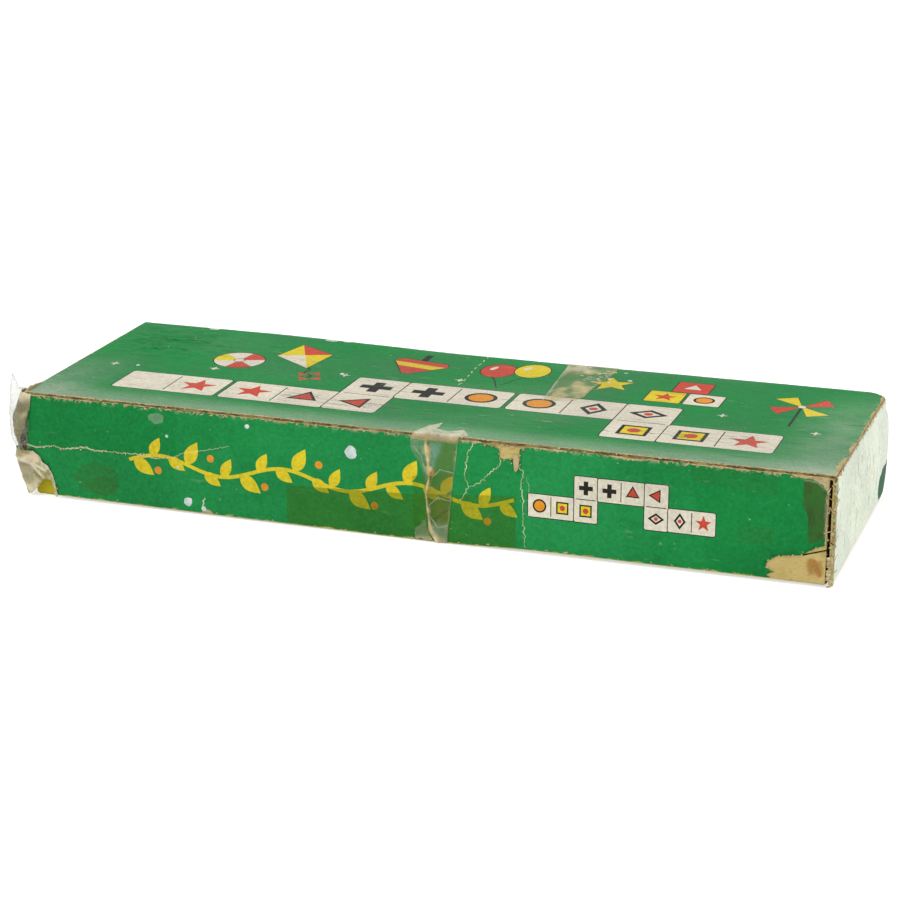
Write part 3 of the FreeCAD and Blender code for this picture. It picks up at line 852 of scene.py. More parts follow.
def blocks(across, up, size):
    """Three printed building blocks in a stack."""
    layers = []
    for shift, rise, colour, kind in ((-0.55, 0, YELLOW, 4), (0.55, 0, CREAM, 1), (0, 1.08, RED, 0)):
        middle = (across + shift * size, up + rise * size)
        layers += lined(colour, moved(oblong(size, size, 0.8), *middle))
        for shade, outline in SYMBOLS[kind]:
            layers += flat(shade, moved(outline, *middle, 0, size * SIGN_SHARE))
    return layers + flat(CREAM, moved(spiked(3, 1.1, 0.55), across, up + 1.08 * size, 0, size * 0.26))


def pinwheel(across, up, size):
    """Printed pinwheel on a stick."""
    layers = flat(DARK, moved(oblong(0.08, 2.0), across, up - size, 0, size))
    for quarter in range(4):
        blade = [(0, 0), (0.95, 0.1), (0.75, 0.75)]
        colour = (RED, YELLOW)[quarter % 2]
        layers += lined(colour, moved(blade, across, up, 90 * quarter + 12, size), 0.4)
    return layers + lined(CREAM, moved(disc(size * 0.12), across, up), 0.3)


def balloons(across, up, size):
    """Two printed balloons with their strings."""
    strings = []
    skins = []
    for shift, rise, colour in ((-0.7, 0.1, RED), (0.7, 0.5, YELLOW)):
        string = [(shift * (1 - t), rise - 1 - 1.4 * t + 0.1 * math.sin(5 * t)) for t in spread(0, 1, 0.12)]
        strings += flat(DARK, moved(stroke(string, [0.03] * len(string)), across, up, 0, size))
        skins += lined(colour, moved(disc(0.75, 1.0), across + shift * size, up + rise * size, 0, size))
        shine = (across + (shift - 0.3) * size, up + (rise + 0.3) * size)
        skins += flat(CREAM, moved(disc(0.12, 0.3), *shine, -15, size))
    return strings + skins


def garland(start, end, level):
    """Printed garland: a wavy stem with leaves and berries."""

    def stem(u):
        return level + 3.0 * math.sin((u - start) * 0.115)

    path = [(u, stem(u)) for u in spread(start, end, 1.5)]
    layers = flat(YELLOW, stroke(path, [0.75] * len(path)))
    leaf = [(t * LEAF_LENGTH, LEAF_WIDTH * math.sin(math.pi * t ** 0.8)) for t in spread(0, 1, 0.1)]
    leaf += [(t * LEAF_LENGTH, -LEAF_WIDTH * math.sin(math.pi * t ** 0.8)) for t in spread(0.9, 0.1, 0.1)]
    for index, u in enumerate(spread(start + 2, end - 6, 8.0)):
        side = 1 if index % 2 else -1
        layers += flat(YELLOW, moved(leaf, u, stem(u), 14 + side * 48, 0.8 + 0.2 * (index % 3 == 0)))
        if index % 3 == 1:
            layers += flat(ORANGE, moved(disc(1.6, count=16), u + 3, stem(u) - side * 6))
    return layers


CHAIN = [
    (-116, -27, 0, (0, 4)),
    (-68, -27, 0, (4, 2)),
    (-33.5, -15.5, 90, (2, 5)),
    (1, -4, 0, (5, 1)),
    (49, -4, 0, (1, 6)),
    (83.5, -15.5, 90, (3, 6)),
    (118, -27, 0, (3, 4)),
]
top_print = []
for across, up, turn, pair in CHAIN:
    top_print += domino(across, up, turn, TOP_DOMINO, pair)
top_print += ball(-103, 13, 11) + kite(-78, 27, 15) + spinning_top(-28, 33, 13)
top_print += balloons(14, 36, 10) + blocks(92, 22, 15) + pinwheel(140, 26, 14)
top_print += lined(YELLOW, moved(spiked(5, 10, 4.4), 58, 33, 12))
for across, up in ((-108, -2), (-52, 8), (-4, 18), (112, 4), (152, -8), (-152, -8)):
    top_print += flat(CREAM, moved(spiked(4, 2.6, 0.9), across, up))

MINIS = [
    (59, 20.5, 0, (1, 3)),
    (73, 25, 90, (3, 5)),
    (87, 29.5, 0, (5, 2)),
    (101, 25, 90, (6, 2)),
    (115, 20.5, 0, (6, 4)),
]
front_print = garland(-122, 44, 21)
for across, up, turn, pair in MINIS:
    front_print += domino(across, up, turn, MINI_DOMINO, pair, FINE_LINE)

# Damage on the front
TEAR = [
    (-170, 23.0), (-165.3, 21.6), (-157.4, 23.0), (-151.7, 22.3), (-141.8, 24.0), (-137.6, 23.1),
    (-129.2, 23.3), (-122.9, 23.3), (-118.0, 23.5), (-110.5, 22.6), (-106.3, 23.1), (-100.8, 24.3),
    (-97.2, 26.3), (-91.8, 27.2), (-87.0, 28.4), (-77.4, 31.0),
]
CRACKS = [
    [(27.0, 43.2), (24.5, 37.4), (24.2, 32.2), (23.0, 29.7), (25.4, 25.4), (22.1, 19.8)],
    [(38.2, 38.3), (38.3, 35.4), (34.6, 32.4), (31.4, 28.6), (27.1, 25.8), (25.4, 25.1)],
    [(46.0, 35.7), (47.8, 32.4), (46.6, 28.8), (47.6, 21.5), (47.6, 14.5), (48.3, 9.3), (48.6, 2.8)],
]
FAINT_CRACK = [(48.6, 31.9), (50.1, 27.5), (49.8, 22.9), (50.5, 19.4), (49.9, 15.3)]
SMEAR = [(-88.6, 9.0), (-89.4, 5.5), (-88.8, 2.5)]
PATCH = [
    (29.0, 44.6), (31.5, 43.4), (34.4, 43.0), (37.4, 42.3), (38.1, 40.5), (37.9, 38.3), (39.8, 37.9),
    (41.7, 38.3), (43.1, 39.1), (43.4, 37.0), (44.4, 35.2), (45.4, 35.3), (46.4, 38.5), (45.7, 42.4),
    (48.5, 43.6), (50.5, 44.6),
]
PEEL = [
    (144.1, 6.1), (145.1, 8.8), (148.2, 10.9), (152.0, 11.6), (157.3, 12.5), (159.4, 13.6), (162.5, 15.7),
    (165.6, 16.9), (167.4, 18.2), (168.1, 20.3), (172, 22), (172, -3), (144.3, -3), (144.3, 1.5),
    (146.2, 2.4), (144.5, 3.3), (147.4, 4.8),
]
CORNER = [
    (-173, 20.0), (-168.6, 19.8), (-165.6, 19.0), (-163.2, 17.0), (-162.6, 14.6), (-159.6, 13.0),
    (-158.0, 9.0), (-156.6, 5.0), (-155.8, 2.0), (-155.5, -20), (-173, -20),
]
BARE_CORNER = [
    (155.5, 47), (157.0, 44.0), (160.6, 42.9), (164.0, 41.2), (166.6, 38.4), (172, 37.5), (172, 47),
]
LOW_STAIN = [(-52.2, 0), (-52.2, 17.7), (-3.4, 19.7), (44.7, 23.4), (44.9, 0)]
TAPE_STAIN = [(1.8, 27.0), (19.3, 29.5), (17.6, 0.5), (2.6, 0.5)]
PATCH_STAIN = [
    (157.2, 42.5), (157.5, 31.9), (159.2, 29.3), (160.3, 17.0), (167.8, 20.5), (166.9, 39.0), (163, 42.0),
]

FADES = [
    ([(-170, 0), (-170, 22), (-106, 23), (-77, 31), (-60, 0)], 0.25),
    ([(-106, -20), (-98, 50), (112, 50), (128, -20)], 0.16),
    ([(-60, -20), (-66, 50), (94, 50), (104, -20)], 0.16),
    ([(49, 0), (47, 44), (78, 44), (92, 0)], 0.2),
]
STAINS = [
    (LOW_STAIN, STAIN, 0.5),
    (TAPE_STAIN, STAIN, 0.4),
    (PATCH_STAIN, OLIVE, 0.5),
    (jagged(moved(disc(10.5, 7), -137, 11), 5, 2.2), OLIVE, 0.30),
    (jagged(moved(disc(7.5, 4), -135, 8), 6, 1.8), OLIVE, 0.22),
    ([(113.9, 37.5), (147.8, 34.5), (147.8, 43), (113.9, 43)], OLIVE, 0.12),
    ([(133, 22), (146.7, 22), (146.7, 14.8), (133, 14.8)], OLIVE, 0.16),
    (jagged(moved(disc(3.4, 2.2), -109.2, 39.6), 8, 0.8), HAZE_AND_SHEEN, 0.26),
]
front_fade = [Layer("tint", outline, LIGHTER_GREEN, amount) for outline, amount in FADES]
front_damage = [Layer("tint", *stain) for stain in STAINS]
front_damage += [
    Layer("bare", jagged(BARE_CORNER, 13, 0.5)),
    Layer("bare", jagged(moved(disc(2.4, 1.2), -87.4, 2.2), 14, 0.7)),
    Layer("hole", jagged(PATCH, 15)),
    Layer("hole", jagged(PEEL, 17)),
    Layer("hole", jagged(CORNER, 19)),
]
front_damage += torn_line(TEAR, (0.7, 0.3, 0.75, 0.25, 0.4, 0.2, 0.25, 0.12), 11)
front_damage += torn_line(FAINT_CRACK, (0.1, 0.22, 0.1), 21, amount=0.6)
front_damage += torn_line(SMEAR, (0.2, 0.8, 0.4, 1.2), 22, colour=CREAM)
for index, path in enumerate(CRACKS):
    front_damage += torn_line(path, (0.35, 0.15, 0.45, 0.12, 0.3, 0.1), 23 + index, 0.8)

# Printed sheets
SPECKS = 46
STREAKS = 330
FINE_STEP = 2.0
front_paper = (
    (2.6, 0.4, (), SLIT_NOTCH),
    (0.4, 0.45, [(92, 5, 0.6), (-5, 9, 0.3)]),
    (0.2, 0.4, (), SIDE_NOTCH),
)
front_ink = (
    (3.0, 0.6, (), SLIT_NOTCH),
    (0.5, 0.65, [(90, 8, 1.0), (60, 4, 0.6), (163, 10, 1.4), (125, 14, 0.5), (25, 12, 0.4)]),
    (0.4, 0.8, (), SIDE_NOTCH),
)
front_layers = worn_sheet(front, 31, front_paper, front_ink) + front_fade + front_print + front_damage
front_layers += [rim_wear(front, 43, 0.5, "print", RIM_YELLOW, 0.75), rim_wear(front, 41)]
mosaic("front_print", front, front_layers, nodes=["lid_wrap"])


def top_sheen_and_wear(u, v):
    """Pale veil on the top print, strongest along its front edge: painted sheen of light grazing the top,
    and worn ink.
    """
    near = 0.36 * (1 - smooth(v, -57, -38))
    middle = 0.06 * smooth(waver(6, u / 60, v / 30), -0.1, 0.6)
    along_end = smooth(v, -44, 18) if u < 0 else smooth(v, 0, 54)
    ends = 0.32 * (1 - smooth(HALF_LENGTH - abs(u), 4, 36)) * (1 - along_end)
    return near + middle + ends * (0.8 + 0.6 * waver(7, u / 12, v / 8))


TOP_CRACK = [(-3.8, 57.0), (-3.7, 36.0), (-2.2, 17.9), (-2.4, 3.7)]
top_paper = ((0.35, 0.4), (0.05, 0.4), (0.1, 0.3), (0.2, 0.5))
top_ink = (
    (0.6, 0.7),
    (0.2, 0.8, [(-41, 7, 2.0), (-22, 6, 1.4), (26, 5, 1.2), (49, 5, 1.0), (-50, 5, 1.8)]),
    (0.3, 0.5),
    (0.5, 0.9),
)
top_damage = []
dashes = along(TOP_CRACK, 3.2)
for index, ends in enumerate(zip(dashes[::2], dashes[1::2])):
    top_damage.append(Layer("print", crack(ends, (0.5, 0.3), 61 + index, 0.5, 0.5), TORN))
speckle = random.Random("specks")
for _ in range(SPECKS):
    middle = (speckle.gauss(50, 4.5), speckle.gauss(44, 6))
    size = speckle.uniform(0.25, 1.1)
    speck = jagged(moved(disc(size, size * 0.6, 8), *middle), 3, 0.3, 0.4)
    top_damage.append(Layer("print", speck, SPECK))
for across, up, size in ((-77, 55.6, 3.2), (-70, 56.2, 2.2), (-134, 55.4, 2.4)):
    chip = jagged(moved(disc(size, size * 0.5, 12), across, up), 4, 0.6, 0.6)
    top_damage.append(Layer("print", chip, SPECK, 0.8))


def scratches(name, count, reach, level, scatter, colour, strength=1.0):
    """Scattered lines across the top print."""
    rng = random.Random(name)
    layers = []
    for _ in range(count):
        across = rng.uniform(*reach)
        up = rng.gauss(level, scatter)
        long = rng.uniform(3, 13)
        path = [(across, up), (across + long / 2, up + rng.uniform(-0.7, 0.7)), (across + long, up)]
        wide = rng.uniform(0.4, 1.3)
        seed = rng.randrange(99)
        amount = strength * rng.uniform(0.35, 0.75)
        layers += torn_line(path, (0.1, wide, 0.1), seed, 0.9, 0.7, colour, amount)
    return layers


top_damage += scratches("scratches", 70, (-80, 135), -27, 4, SCRATCH)
# Painted shade and painted highlights along the wrinkles at the back left of the top
top_damage += scratches("wrinkle shades", 40, (-164, -116), 27, 11, SHADE_GREEN, 0.65)
top_damage += scratches("wrinkle lights", 16, (-164, -116), 29, 10, LIGHTER_GREEN)
WRINKLE_LINES = [
    [(-160, 25.8), (-152, 33.4), (-137, 31.0), (-126, 32.0)],
    [(-150, 14.5), (-139, 22.0), (-124, 16.0)],
]


def top_wrinkle(u, v):
    """Height of the wrinkled paper at the back left of the top."""
    zone = smooth(-u, 100, 124) * (1 - smooth(-u, 160, 168)) * smooth(v, 0, 14) * (1 - smooth(v, 48, 56))
    lumps = 0.9 * abs(waver(9, u / 9, v / 6)) + 0.5 * abs(waver(10, u / 4.5, v / 3))
    return zone * (lumps + 0.6 * beside(WRINKLE_LINES, u, v, 0.0, 1.6))


strip = spread(0.0, 1.4 * DENT_REACH, 1.0)
wrinkled = [(u, v) for u in spread(-167, -101, 1.5) for v in spread(1, 55.5, 1.5)]
wrinkled += [(top.u1 - u, top.v1 - v) for u in strip for v in strip]
top_layers = worn_sheet(top, 51, top_paper, top_ink) + top_print + top_damage
mosaic("top_print", top, top_layers, top_sheen_and_wear, wrinkle=top_wrinkle, fine=wrinkled)

plain_paper = ((0.2, 0.4, (), SIDE_NOTCH), (0.1, 0.4), (0.2, 0.4, (), SIDE_NOTCH))
plain_ink = ((0.5, 0.7, (), SIDE_NOTCH), (0.5, 0.8), (0.5, 0.7, (), SIDE_NOTCH))
back_layers = worn_sheet(back, 71, plain_paper, plain_ink) + garland(-84, 84, 22) + [rim_wear(back, 77)]
back_fine = [(back.u0 + u, v) for u in strip for v in spread(back.v0, back.v1, FINE_STEP)]
mosaic("back_print", back, back_layers, fine=back_fine)

right_paper = ((0.2, 0.4, (), SIDE_NOTCH), (0.05, 0.4), (0.3, 0.6, (), SIDE_NOTCH))
right_ink = ((0.5, 0.6, (), SIDE_NOTCH), (0.25, 0.6), (0.8, 1.2, (), SIDE_NOTCH))
# Spot at the crushed back corner, painted deep green as shade in place of the painted glare
SHADED_SPOT = [(38, 14.5), (44, 16.5), (62, 17), (62, 1), (53, 1.5), (43, 3), (38, 7), (36.5, 11)]
# Painted glare: the right end is printed near-white mint all over, with pale streaks
end_glare_and_shade = [Layer("print", [(-60, -20), (60, -20), (60, 60), (-60, 60)], GLARE_MINT)]
end_rng = random.Random("rubbed end")
for _ in range(STREAKS):
    across = end_rng.gauss(-8, 24)
    up = end_rng.gauss(25, 9)
    tall = end_rng.uniform(1.0, 9.0)
    tone = end_rng.choice(END_STREAKS)
    path = [(across, up - tall / 2), (across + end_rng.uniform(-0.4, 0.4), up + tall / 2)]
    wide = end_rng.uniform(0.4, 1.2)
    end_glare_and_shade.append(Layer("print", crack(path, (0.1, wide, 0.1), end_rng.randrange(99)), tone))
end_glare_and_shade.append(Layer("print", jagged(SHADED_SPOT, 83, 1.1, 0.7), SHADE_GREEN))


def end_glare_blotches(u, v):
    """Grey blotches in the painted glare on the end, most along its top and front."""
    blotch = 0.16 * smooth(waver(8, u / 9, v / 14), -0.1, 0.5)
    spot = smooth(u, 32, 36) * (1 - smooth(v, 17, 20))
    return (blotch + 0.20 * smooth(v, 28, 42) + 0.06 * smooth(-u, 30, 55)) * (1 - spot)


right_layers = worn_sheet(right, 84, right_paper, right_ink) + end_glare_and_shade + [rim_wear(right, 90)]
right_fine = [(right.u1 - u, v) for u in strip for v in spread(right.v0, right.v1, FINE_STEP)]
mosaic("right_print", right, right_layers, end_glare_blotches, 3.0, fine=right_fine)

left_hole = Layer("hole", jagged([(48, -20), (62, -20), (62, 20), (58, 19), (53, 12), (50, 6)], 91))
left_layers = worn_sheet(left, 71, plain_paper, plain_ink) + [rim_wear(left, 92), left_hole]
mosaic("left_print", left, left_layers, spacing=3.0)


# Torn fibres and flakes
FLAKE = 0.12
INKED_SHARE = 0.6


def scrap(panel, u, v, turn, length, width, rise, rng):
    """Points of a torn flake, two at its root, its middle and its raised tip."""
    c = math.cos(math.radians(turn))
    s = math.sin(math.radians(turn))
    points = []
    for t in (0.0, 0.5, 1.0):
        half = width / 2 * (1 - 0.55 * t) * rng.uniform(0.7, 1.2)
        lean = rng.uniform(-0.25, 0.25) * width * t
        for side in (lean - half, lean + half):
            spot = (u + c * length * t - s * side, v + s * length * t + c * side)
            points.append(panel.place(*spot, 0.05 + rise * t * t))
    return points


def scraps(name, panel, path, step, turn, length, width, rise, inks=()):
    """Flakes of torn paper along a path, bare or in one of the inks."""
    rng = random.Random(name)
    points = []
    faces = []
    picks = []
    colours = []
    for u, v in along(path, step):
        spot = (u + rng.uniform(-0.5, 0.5) * step, v + rng.uniform(-0.25, 0.25))
        sizes = [rng.uniform(0.35, 1.0) * size for size in (length, width, rise)]
        ink = rng.choice(inks) if inks and rng.random() < INKED_SHARE else None
        first = len(points)
        points += scrap(panel, *spot, turn + rng.gauss(0, 35), *sizes, rng)
        faces += [[first + index for index in face] for face in ((0, 2, 3, 1), (2, 4, 5, 3))]
        picks += [int(ink is None)] * 2
        colours += [(*(ink or CREAM), 1.0)] * 8
    piece = add_piece(name, points, faces, (PRINT, CORE), "lid", (), picks, colours)
    thicken(piece, FLAKE, 1.0)


def level_run(panel, inset, far_inset, v):
    """Line across a panel, short of its sides."""
    return [(panel.u0 + inset, v), (panel.u1 - far_inset, v)]


def upright_run(u, low, high):
    """Line up a panel."""
    return [(u, low), (u, high)]


slit_side = upright_run(right.u0 + 0.3, 4, TOP - 4)
slit_inks = (OLD_CREAM, PALE_GREEN, DARK)
corner_side = upright_run(right.u0 + 0.6, 3, TOP - 3)
corner_inks = (PALE_GREEN, OLD_CREAM)
pale_inks = (OLD_CREAM, TORN)
right_top = level_run(right, 2, 2, right.v1 - 0.6)
crack_rows = []
for index, path in enumerate(CRACKS):
    crack_rows.append((f"crack_fibres_{index}", front, path, 2.6, 20, 0.4, 0.7, 0.2, (TORN,)))

# Name, panel, path, step, turn, length, width, rise and inks of each row of flakes
FIBRES = [
    ("fold_fibres_front", front, level_run(front, 4, 4, front.v1 - 1.0), 3.2, -90, 0.7, 2.6, 0.15),
    ("fold_fibres_top", top, level_run(top, 3, 3, top.v0 + 0.6), 3.8, -90, 0.7, 2.4, 0.2),
    ("tear_fibres", front, TEAR[1:12], 3.6, 60, 1.2, 0.9, 0.7, (TORN,)),
    ("tear_fibres_low", front, TEAR[1:9], 5.0, -60, 0.9, 1.2, 0.4, (TORN,)),
    *crack_rows,
    ("patch_fibres", front, PATCH[1:-1], 2.0, -90, 0.7, 1.6, 0.4),
    ("peel_fibres", front, PEEL[:9], 2.4, 60, 0.7, 1.6, 0.3),
    ("rim_fibres", front, level_run(front, 20, 28, front.low - 0.2), 11.0, 90, 0.6, 2.0, 0.1),
    ("right_corner_fibres", right, corner_side, 0.8, 180, 1.9, 2.8, 0.5, corner_inks),
    ("front_corner_fibres", front, [(front.u1 - 3.4, 20), (front.u1 - 3.3, 40)], 2.4, 0, 0.7, 2.4, 0.15),
    ("slit_fibres", right, slit_side, 1.7, 100, 4.6, 0.7, 0.7, slit_inks),
    ("slit_edge_fibres", front, upright_run(front.u1 - 2.7, 14, 40), 2.2, 75, 4.2, 0.6, 0.3, pale_inks),
    ("slit_low_fibres", right, upright_run(right.u0 + 0.4, 2.5, 12.5), 0.6, 180, 4.4, 2.6, 0.25, pale_inks),
    ("right_top_fibres", right, right_top, 2.4, 90, 0.9, 2.4, 0.25, (OLD_CREAM,)),
    ("corner_hole_fibres", front, CORNER[1:8], 1.8, 200, 0.8, 1.6, 0.4),
]
for row in FIBRES:
    scraps(*row)


def tongue(name, panel, root, turn, length, width, rise):
    """Curled tongue of torn paper."""
    points = scrap(panel, *root, turn, length, width, rise, random.Random(name))
    piece = add_piece(name, points, [(0, 2, 3, 1), (2, 4, 5, 3)], (CORE,), "lid")
    thicken(piece, PAPER, 1.0)
    curve = piece.modifiers.new("curl", "SUBSURF")
    curve.levels = curve.render_levels = 2


tongue("patch_tongue", front, (44.6, 40.6), -84, 7.2, 3.6, 1.1)


CURL_START = 0.6
CURL_LENGTH = 21.0
CURL_HEIGHT = 1.9
CURL_STEPS = 16
CURL_BOARD = 0.6


def corner_curl():
    """Edge of the bent left end, standing a little over the top at the front corner."""
    points = []
    faces = []
    for index in range(CURL_STEPS + 1):
        back = CURL_START + CURL_LENGTH * index / CURL_STEPS
        swell = smooth(back, 0.0, 4.0) * (1 - smooth(back, 3.0, CURL_START + CURL_LENGTH))
        rise = CURL_HEIGHT * swell * (1 + 0.3 * waver(95, back * 0.5))
        for share, lean in ((-0.6, 0.5), (0.3, 0.9), (1.0, 1.6)):
            height = min(max(share * rise, share), rise)
            points.append(Vector((lean - HALF_LENGTH, back - HALF_WIDTH, TOP + height - 0.25)))
    for first in range(0, 3 * CURL_STEPS, 3):
        faces += [(start, start + 3, start + 4, start + 1) for start in (first, first + 1)]
    piece = add_piece("corner_curl", points, faces, (CORE, CORE), "lid")
    thicken(piece, CURL_BOARD, 0.0)


corner_curl()

# Dried paint
DROP_SIDES = 14
DROPS = [
    (front, -24.1, 34.1, 2.7),
    (front, -68.8, 40.2, 1.0),
    (front, -104.6, 32.5, 0.7),
    (front, -99.9, 19.9, 0.6),
    (front, -95.9, 6.0, 1.9),
    (front, -89.0, 3.8, 1.1),
    (top, -53.8, 9.2, 1.0),
    (top, 64.0, 40.0, 1.0),
    (top, -141.4, -7.7, 0.9),
]


def paint_drops():
    """Low domes of dried paint with uneven edges."""
    points = []
    faces = []
    for panel, across, up, size in DROPS:
        first = len(points)
        points.append(panel.place(across, up, 0.14 + 0.08 * size))
        for share, lift in ((0.55, 0.13 + 0.06 * size), (0.9, 0.12), (1.0, 0.0)):
            ring = moved(disc(size * share, count=DROP_SIDES), across, up)
            points += [panel.place(u, v, lift) for u, v in jagged(ring, 7, 0.25 * size, 9.0)]
        for index in range(DROP_SIDES):
            faces.append((first, first + 1 + index, first + 1 + (index + 1) % DROP_SIDES))
        faces += band(first + 1, DROP_SIDES) + band(first + 1 + DROP_SIDES, DROP_SIDES)
    add_piece("paint_drops", points, faces, (PAINT,), "lid")


paint_drops()

# Tapes
FILM = 0.06
FRONT_EDGE = front.v1


def coated(colour, opacity, *coats):
    """Tape tone under coats, each a colour, an opacity and how much of it shows."""
    for coat, cover, weight in coats:
        colour = mixed(colour, coat, weight)
        opacity += (cover - opacity) * weight
    return colour, opacity


def crumple(seed, u, v, size):
    """Sharp folds of crumpled film, from 0 to about 1."""
    coarse = abs(waver(seed, u / size, v / size))
    return 1.5 * coarse + 0.6 * abs(waver(seed + 1, 2.3 * u / size, 2.3 * v / size))


def film(name, place, outline, tone, lift, nodes=(), spacing=1.4, lines=()):
    """Sheet of old tape: place puts its unrolled points on the lid, tone colours them, lift raises them."""
    edge = jagged(outline, len(name), 0.25, 0.9)
    rng = random.Random(name)
    rows = [spread(min(axis), max(axis), spacing) for axis in zip(*edge)]
    grid = [(u + rng.uniform(-0.4, 0.4), v + rng.uniform(-0.4, 0.4)) for u in rows[0] for v in rows[1]]
    for path in lines:
        run = along(path, 0.6)
        grid += run + stroke(run, [0.35] * len(run))
    spots, triangles, owners = triangulate([Layer("paper", edge)], grid)
    faces = [triangle for triangle, inside in zip(triangles, owners) if inside]
    inks = []
    for face in faces:
        for corner in face:
            colour, opacity = tone(*spots[corner])
            inks.append((*colour, 1 - math.sqrt(1 - opacity)))
    points = [place(u, v, lift(u, v)) for u, v in spots]
    piece = add_piece(name, points, faces, (TAPE, TAPE), "lid", nodes, None, inks)
    thicken(piece, FILM, 1.0)


def round_front(u, v, lift):
    """Place on the front, or past the fold on the top."""
    if v < FRONT_EDGE:
        return front.place(u, v, lift)
    return top.place(u, top.v0 + v - FRONT_EDGE, lift)


FRONT_RIDGE = [
    (7.7, 43.4), (8.0, 38.0), (8.9, 32.0), (8.9, 26.5), (7.7, 20.9), (8.6, 13.6), (9.5, 6.3), (12.5, 1.6),
]
FRONT_TAPE = [
    (21.1, 44.8), (19.6, 31.9), (18.1, 19.6), (16.8, 7.2), (16.5, 1.2), (11.9, 1.2), (8.8, 6.3),
    (8.0, 13.6), (7.1, 20.9), (6.9, 25.7), (5.8, 31.1), (1.3, 38.5), (1.0, 43.0), (2.2, 45.2),
    (4.8, 54.2), (9.3, 59.9), (9.8, 51.7), (15.1, 49.5), (20.4, 53.4), (24.5, 46.7),
]
FRONT_CREASE = [(16.8, 15.5), (13.0, 12.0), (9.6, 9.8)]
PALE_CREASES = [
    [(16.4, 9.0), (12.6, 7.6), (8.8, 12.6)],
    [(10.4, 27.6), (13.4, 31.0), (18.8, 30.2)],
    [(9.2, 16.6), (12.8, 19.8), (17.6, 18.6)],
    [(2.4, 39.5), (5.6, 36.0), (7.4, 29.5)],
]


def front_tone(u, v):
    """Tone of the front tape: clear in its middle, milky on its flank, beige along its ridge and ends."""
    window = smooth(u, 9.0, 10.0) * smooth(15.5 - (43 - v) * 0.4 - u, -0.5, 0.8)
    window *= smooth(v, 30.5, 32) * smooth(42.5 - v, 0, 1.5)
    swell = smooth(waver(103, v / 3.2), -0.25, 0.35)
    wide = 0.5 + swell * (1.7 if v > 26 else 0.5) + 1.2 * (1 - smooth(v, 5.5, 9.0))
    blotch = smooth(waver(104, u / 1.5, v / 2), -0.2, 0.3)
    patchy = 0.86 - 0.3 * smooth(waver(102, u / 3, v / 2), 0.0, 0.4)
    patchy -= 0.2 * smooth(v, FRONT_EDGE + 1, FRONT_EDGE + 4)
    return coated(
        (0.30, 0.27, 0.05),
        0.26,
        ((0.42, 0.60, 0.36), 0.30, smooth(8.6 - u, 0, 1.5) * smooth(v, 24, 28)),
        ((0.36, 0.58, 0.44), 0.42, window),
        ((0.44, 0.56, 0.34), 0.5, 1 - smooth(v, 8, 11)),
        ((0.70, 0.60, 0.36), 0.75, 1 - smooth(v, 2.5, 5)),
        ((0.07, 0.12, 0.03), 0.6, beside([FRONT_CREASE], u, v, 0.1, 0.5)),
        ((0.58, 0.60, 0.36), 0.5, beside([FRONT_TAPE[:5]], u, v, 0.1, 0.5)),
        ((0.78, 0.76, 0.58), 0.62, beside(PALE_CREASES, u, v, 0.0, 0.35)),
        (
            mixed((0.78, 0.58, 0.26), (0.88, 0.78, 0.48), blotch),
            0.92,
            beside([FRONT_RIDGE], u, v, wide * 0.3, wide),
        ),
        ((0.66, 0.54, 0.28), 0.74, smooth(v, 41.8, 43.2)),
        ((0.97, 0.92, 0.68), patchy, smooth(v, FRONT_EDGE - 0.3, FRONT_EDGE + 0.6)),
    )


def front_lift(u, v):
    """Height of the front tape: creased, with a standing ridge."""
    ridge = beside([FRONT_RIDGE], u, v, 0.1, 1.5)
    ridge *= (0.9 if v > 24 else 0.6) * (0.7 + 0.6 * abs(waver(106, v / 2)))
    return 0.10 + 0.22 * crumple(101, u, v, 7) + ridge + 0.2 * beside(PALE_CREASES, u, v, 0.0, 0.35)


front_lines = [FRONT_RIDGE, FRONT_CREASE, *PALE_CREASES]
film("tape_front_film", round_front, FRONT_TAPE, front_tone, front_lift, ["tape_front"], 1.1, front_lines)
OLD_TAPE = [(3.0, 1.4), (2.8, 6.5), (5.0, 8.0), (7.4, 11.0), (8.4, 6.3), (10.7, 1.4)]


def old_tone(u, v):
    """Tone of the older tape beside the front tape."""
    return coated((0.40, 0.52, 0.28), 0.4, ((0.74, 0.66, 0.40), 0.7, 1 - smooth(v, 3.0, 4.5)))


def thin_lift(u, v):
    """Height of film that lies close, with small creases."""
    return 0.08 + 0.12 * crumple(105, u, v, 6)


film("tape_front_remnant", round_front, OLD_TAPE, old_tone, thin_lift)


def round_back(u, v, lift):
    """Place on the top, or past the fold on the back."""
    if v < top.v1:
        return top.place(u, v, lift)
    return back.place(-u, back.v1 - (v - top.v1), lift)


BACK_TAPE = [
    (37.3, 0.7), (50.4, 4.3), (52.3, 10.8), (52.3, 24.5), (54.4, 36.0), (55.0, 50.0), (54.4, 58.0),
    (52.5, 79.0), (33.0, 81.0), (32.4, 58.0), (33.2, 50.0),
]
BACK_LINE = [(37.3, 0.7), (33.2, 50.0), (32.4, 58.0), (33.0, 81.0)]


def back_tone(u, v):
    """Tone of the back tape: mottled, and whiter towards the fold."""
    patch = smooth(waver(107, u / 5, v / 9), -0.15, 0.35)
    edge = smooth(v, 40, 50) * smooth(46 - u, 0, 4) + smooth(v, 56.0, 57.5)
    return coated(
        (0.62, 0.52, 0.22),
        0.18,
        ((0.80, 0.67, 0.28), 0.64, patch),
        ((0.86, 0.79, 0.50), 0.85, min(1.0, edge) * (0.55 + 0.45 * patch)),
        ((0.84, 0.80, 0.58), 0.7, beside([BACK_LINE], u, v, 0.2, 0.8)),
    )


film("tape_back_film", round_back, BACK_TAPE, back_tone, thin_lift, ["tape_back"])


def round_left(u, v, lift):
    """Place on the front for u above 0, or past the fold on the left end."""
    if u > 0:
        return front.place(front.u0 + u, v, lift)
    return left.place(left.u1 + u, v, lift)


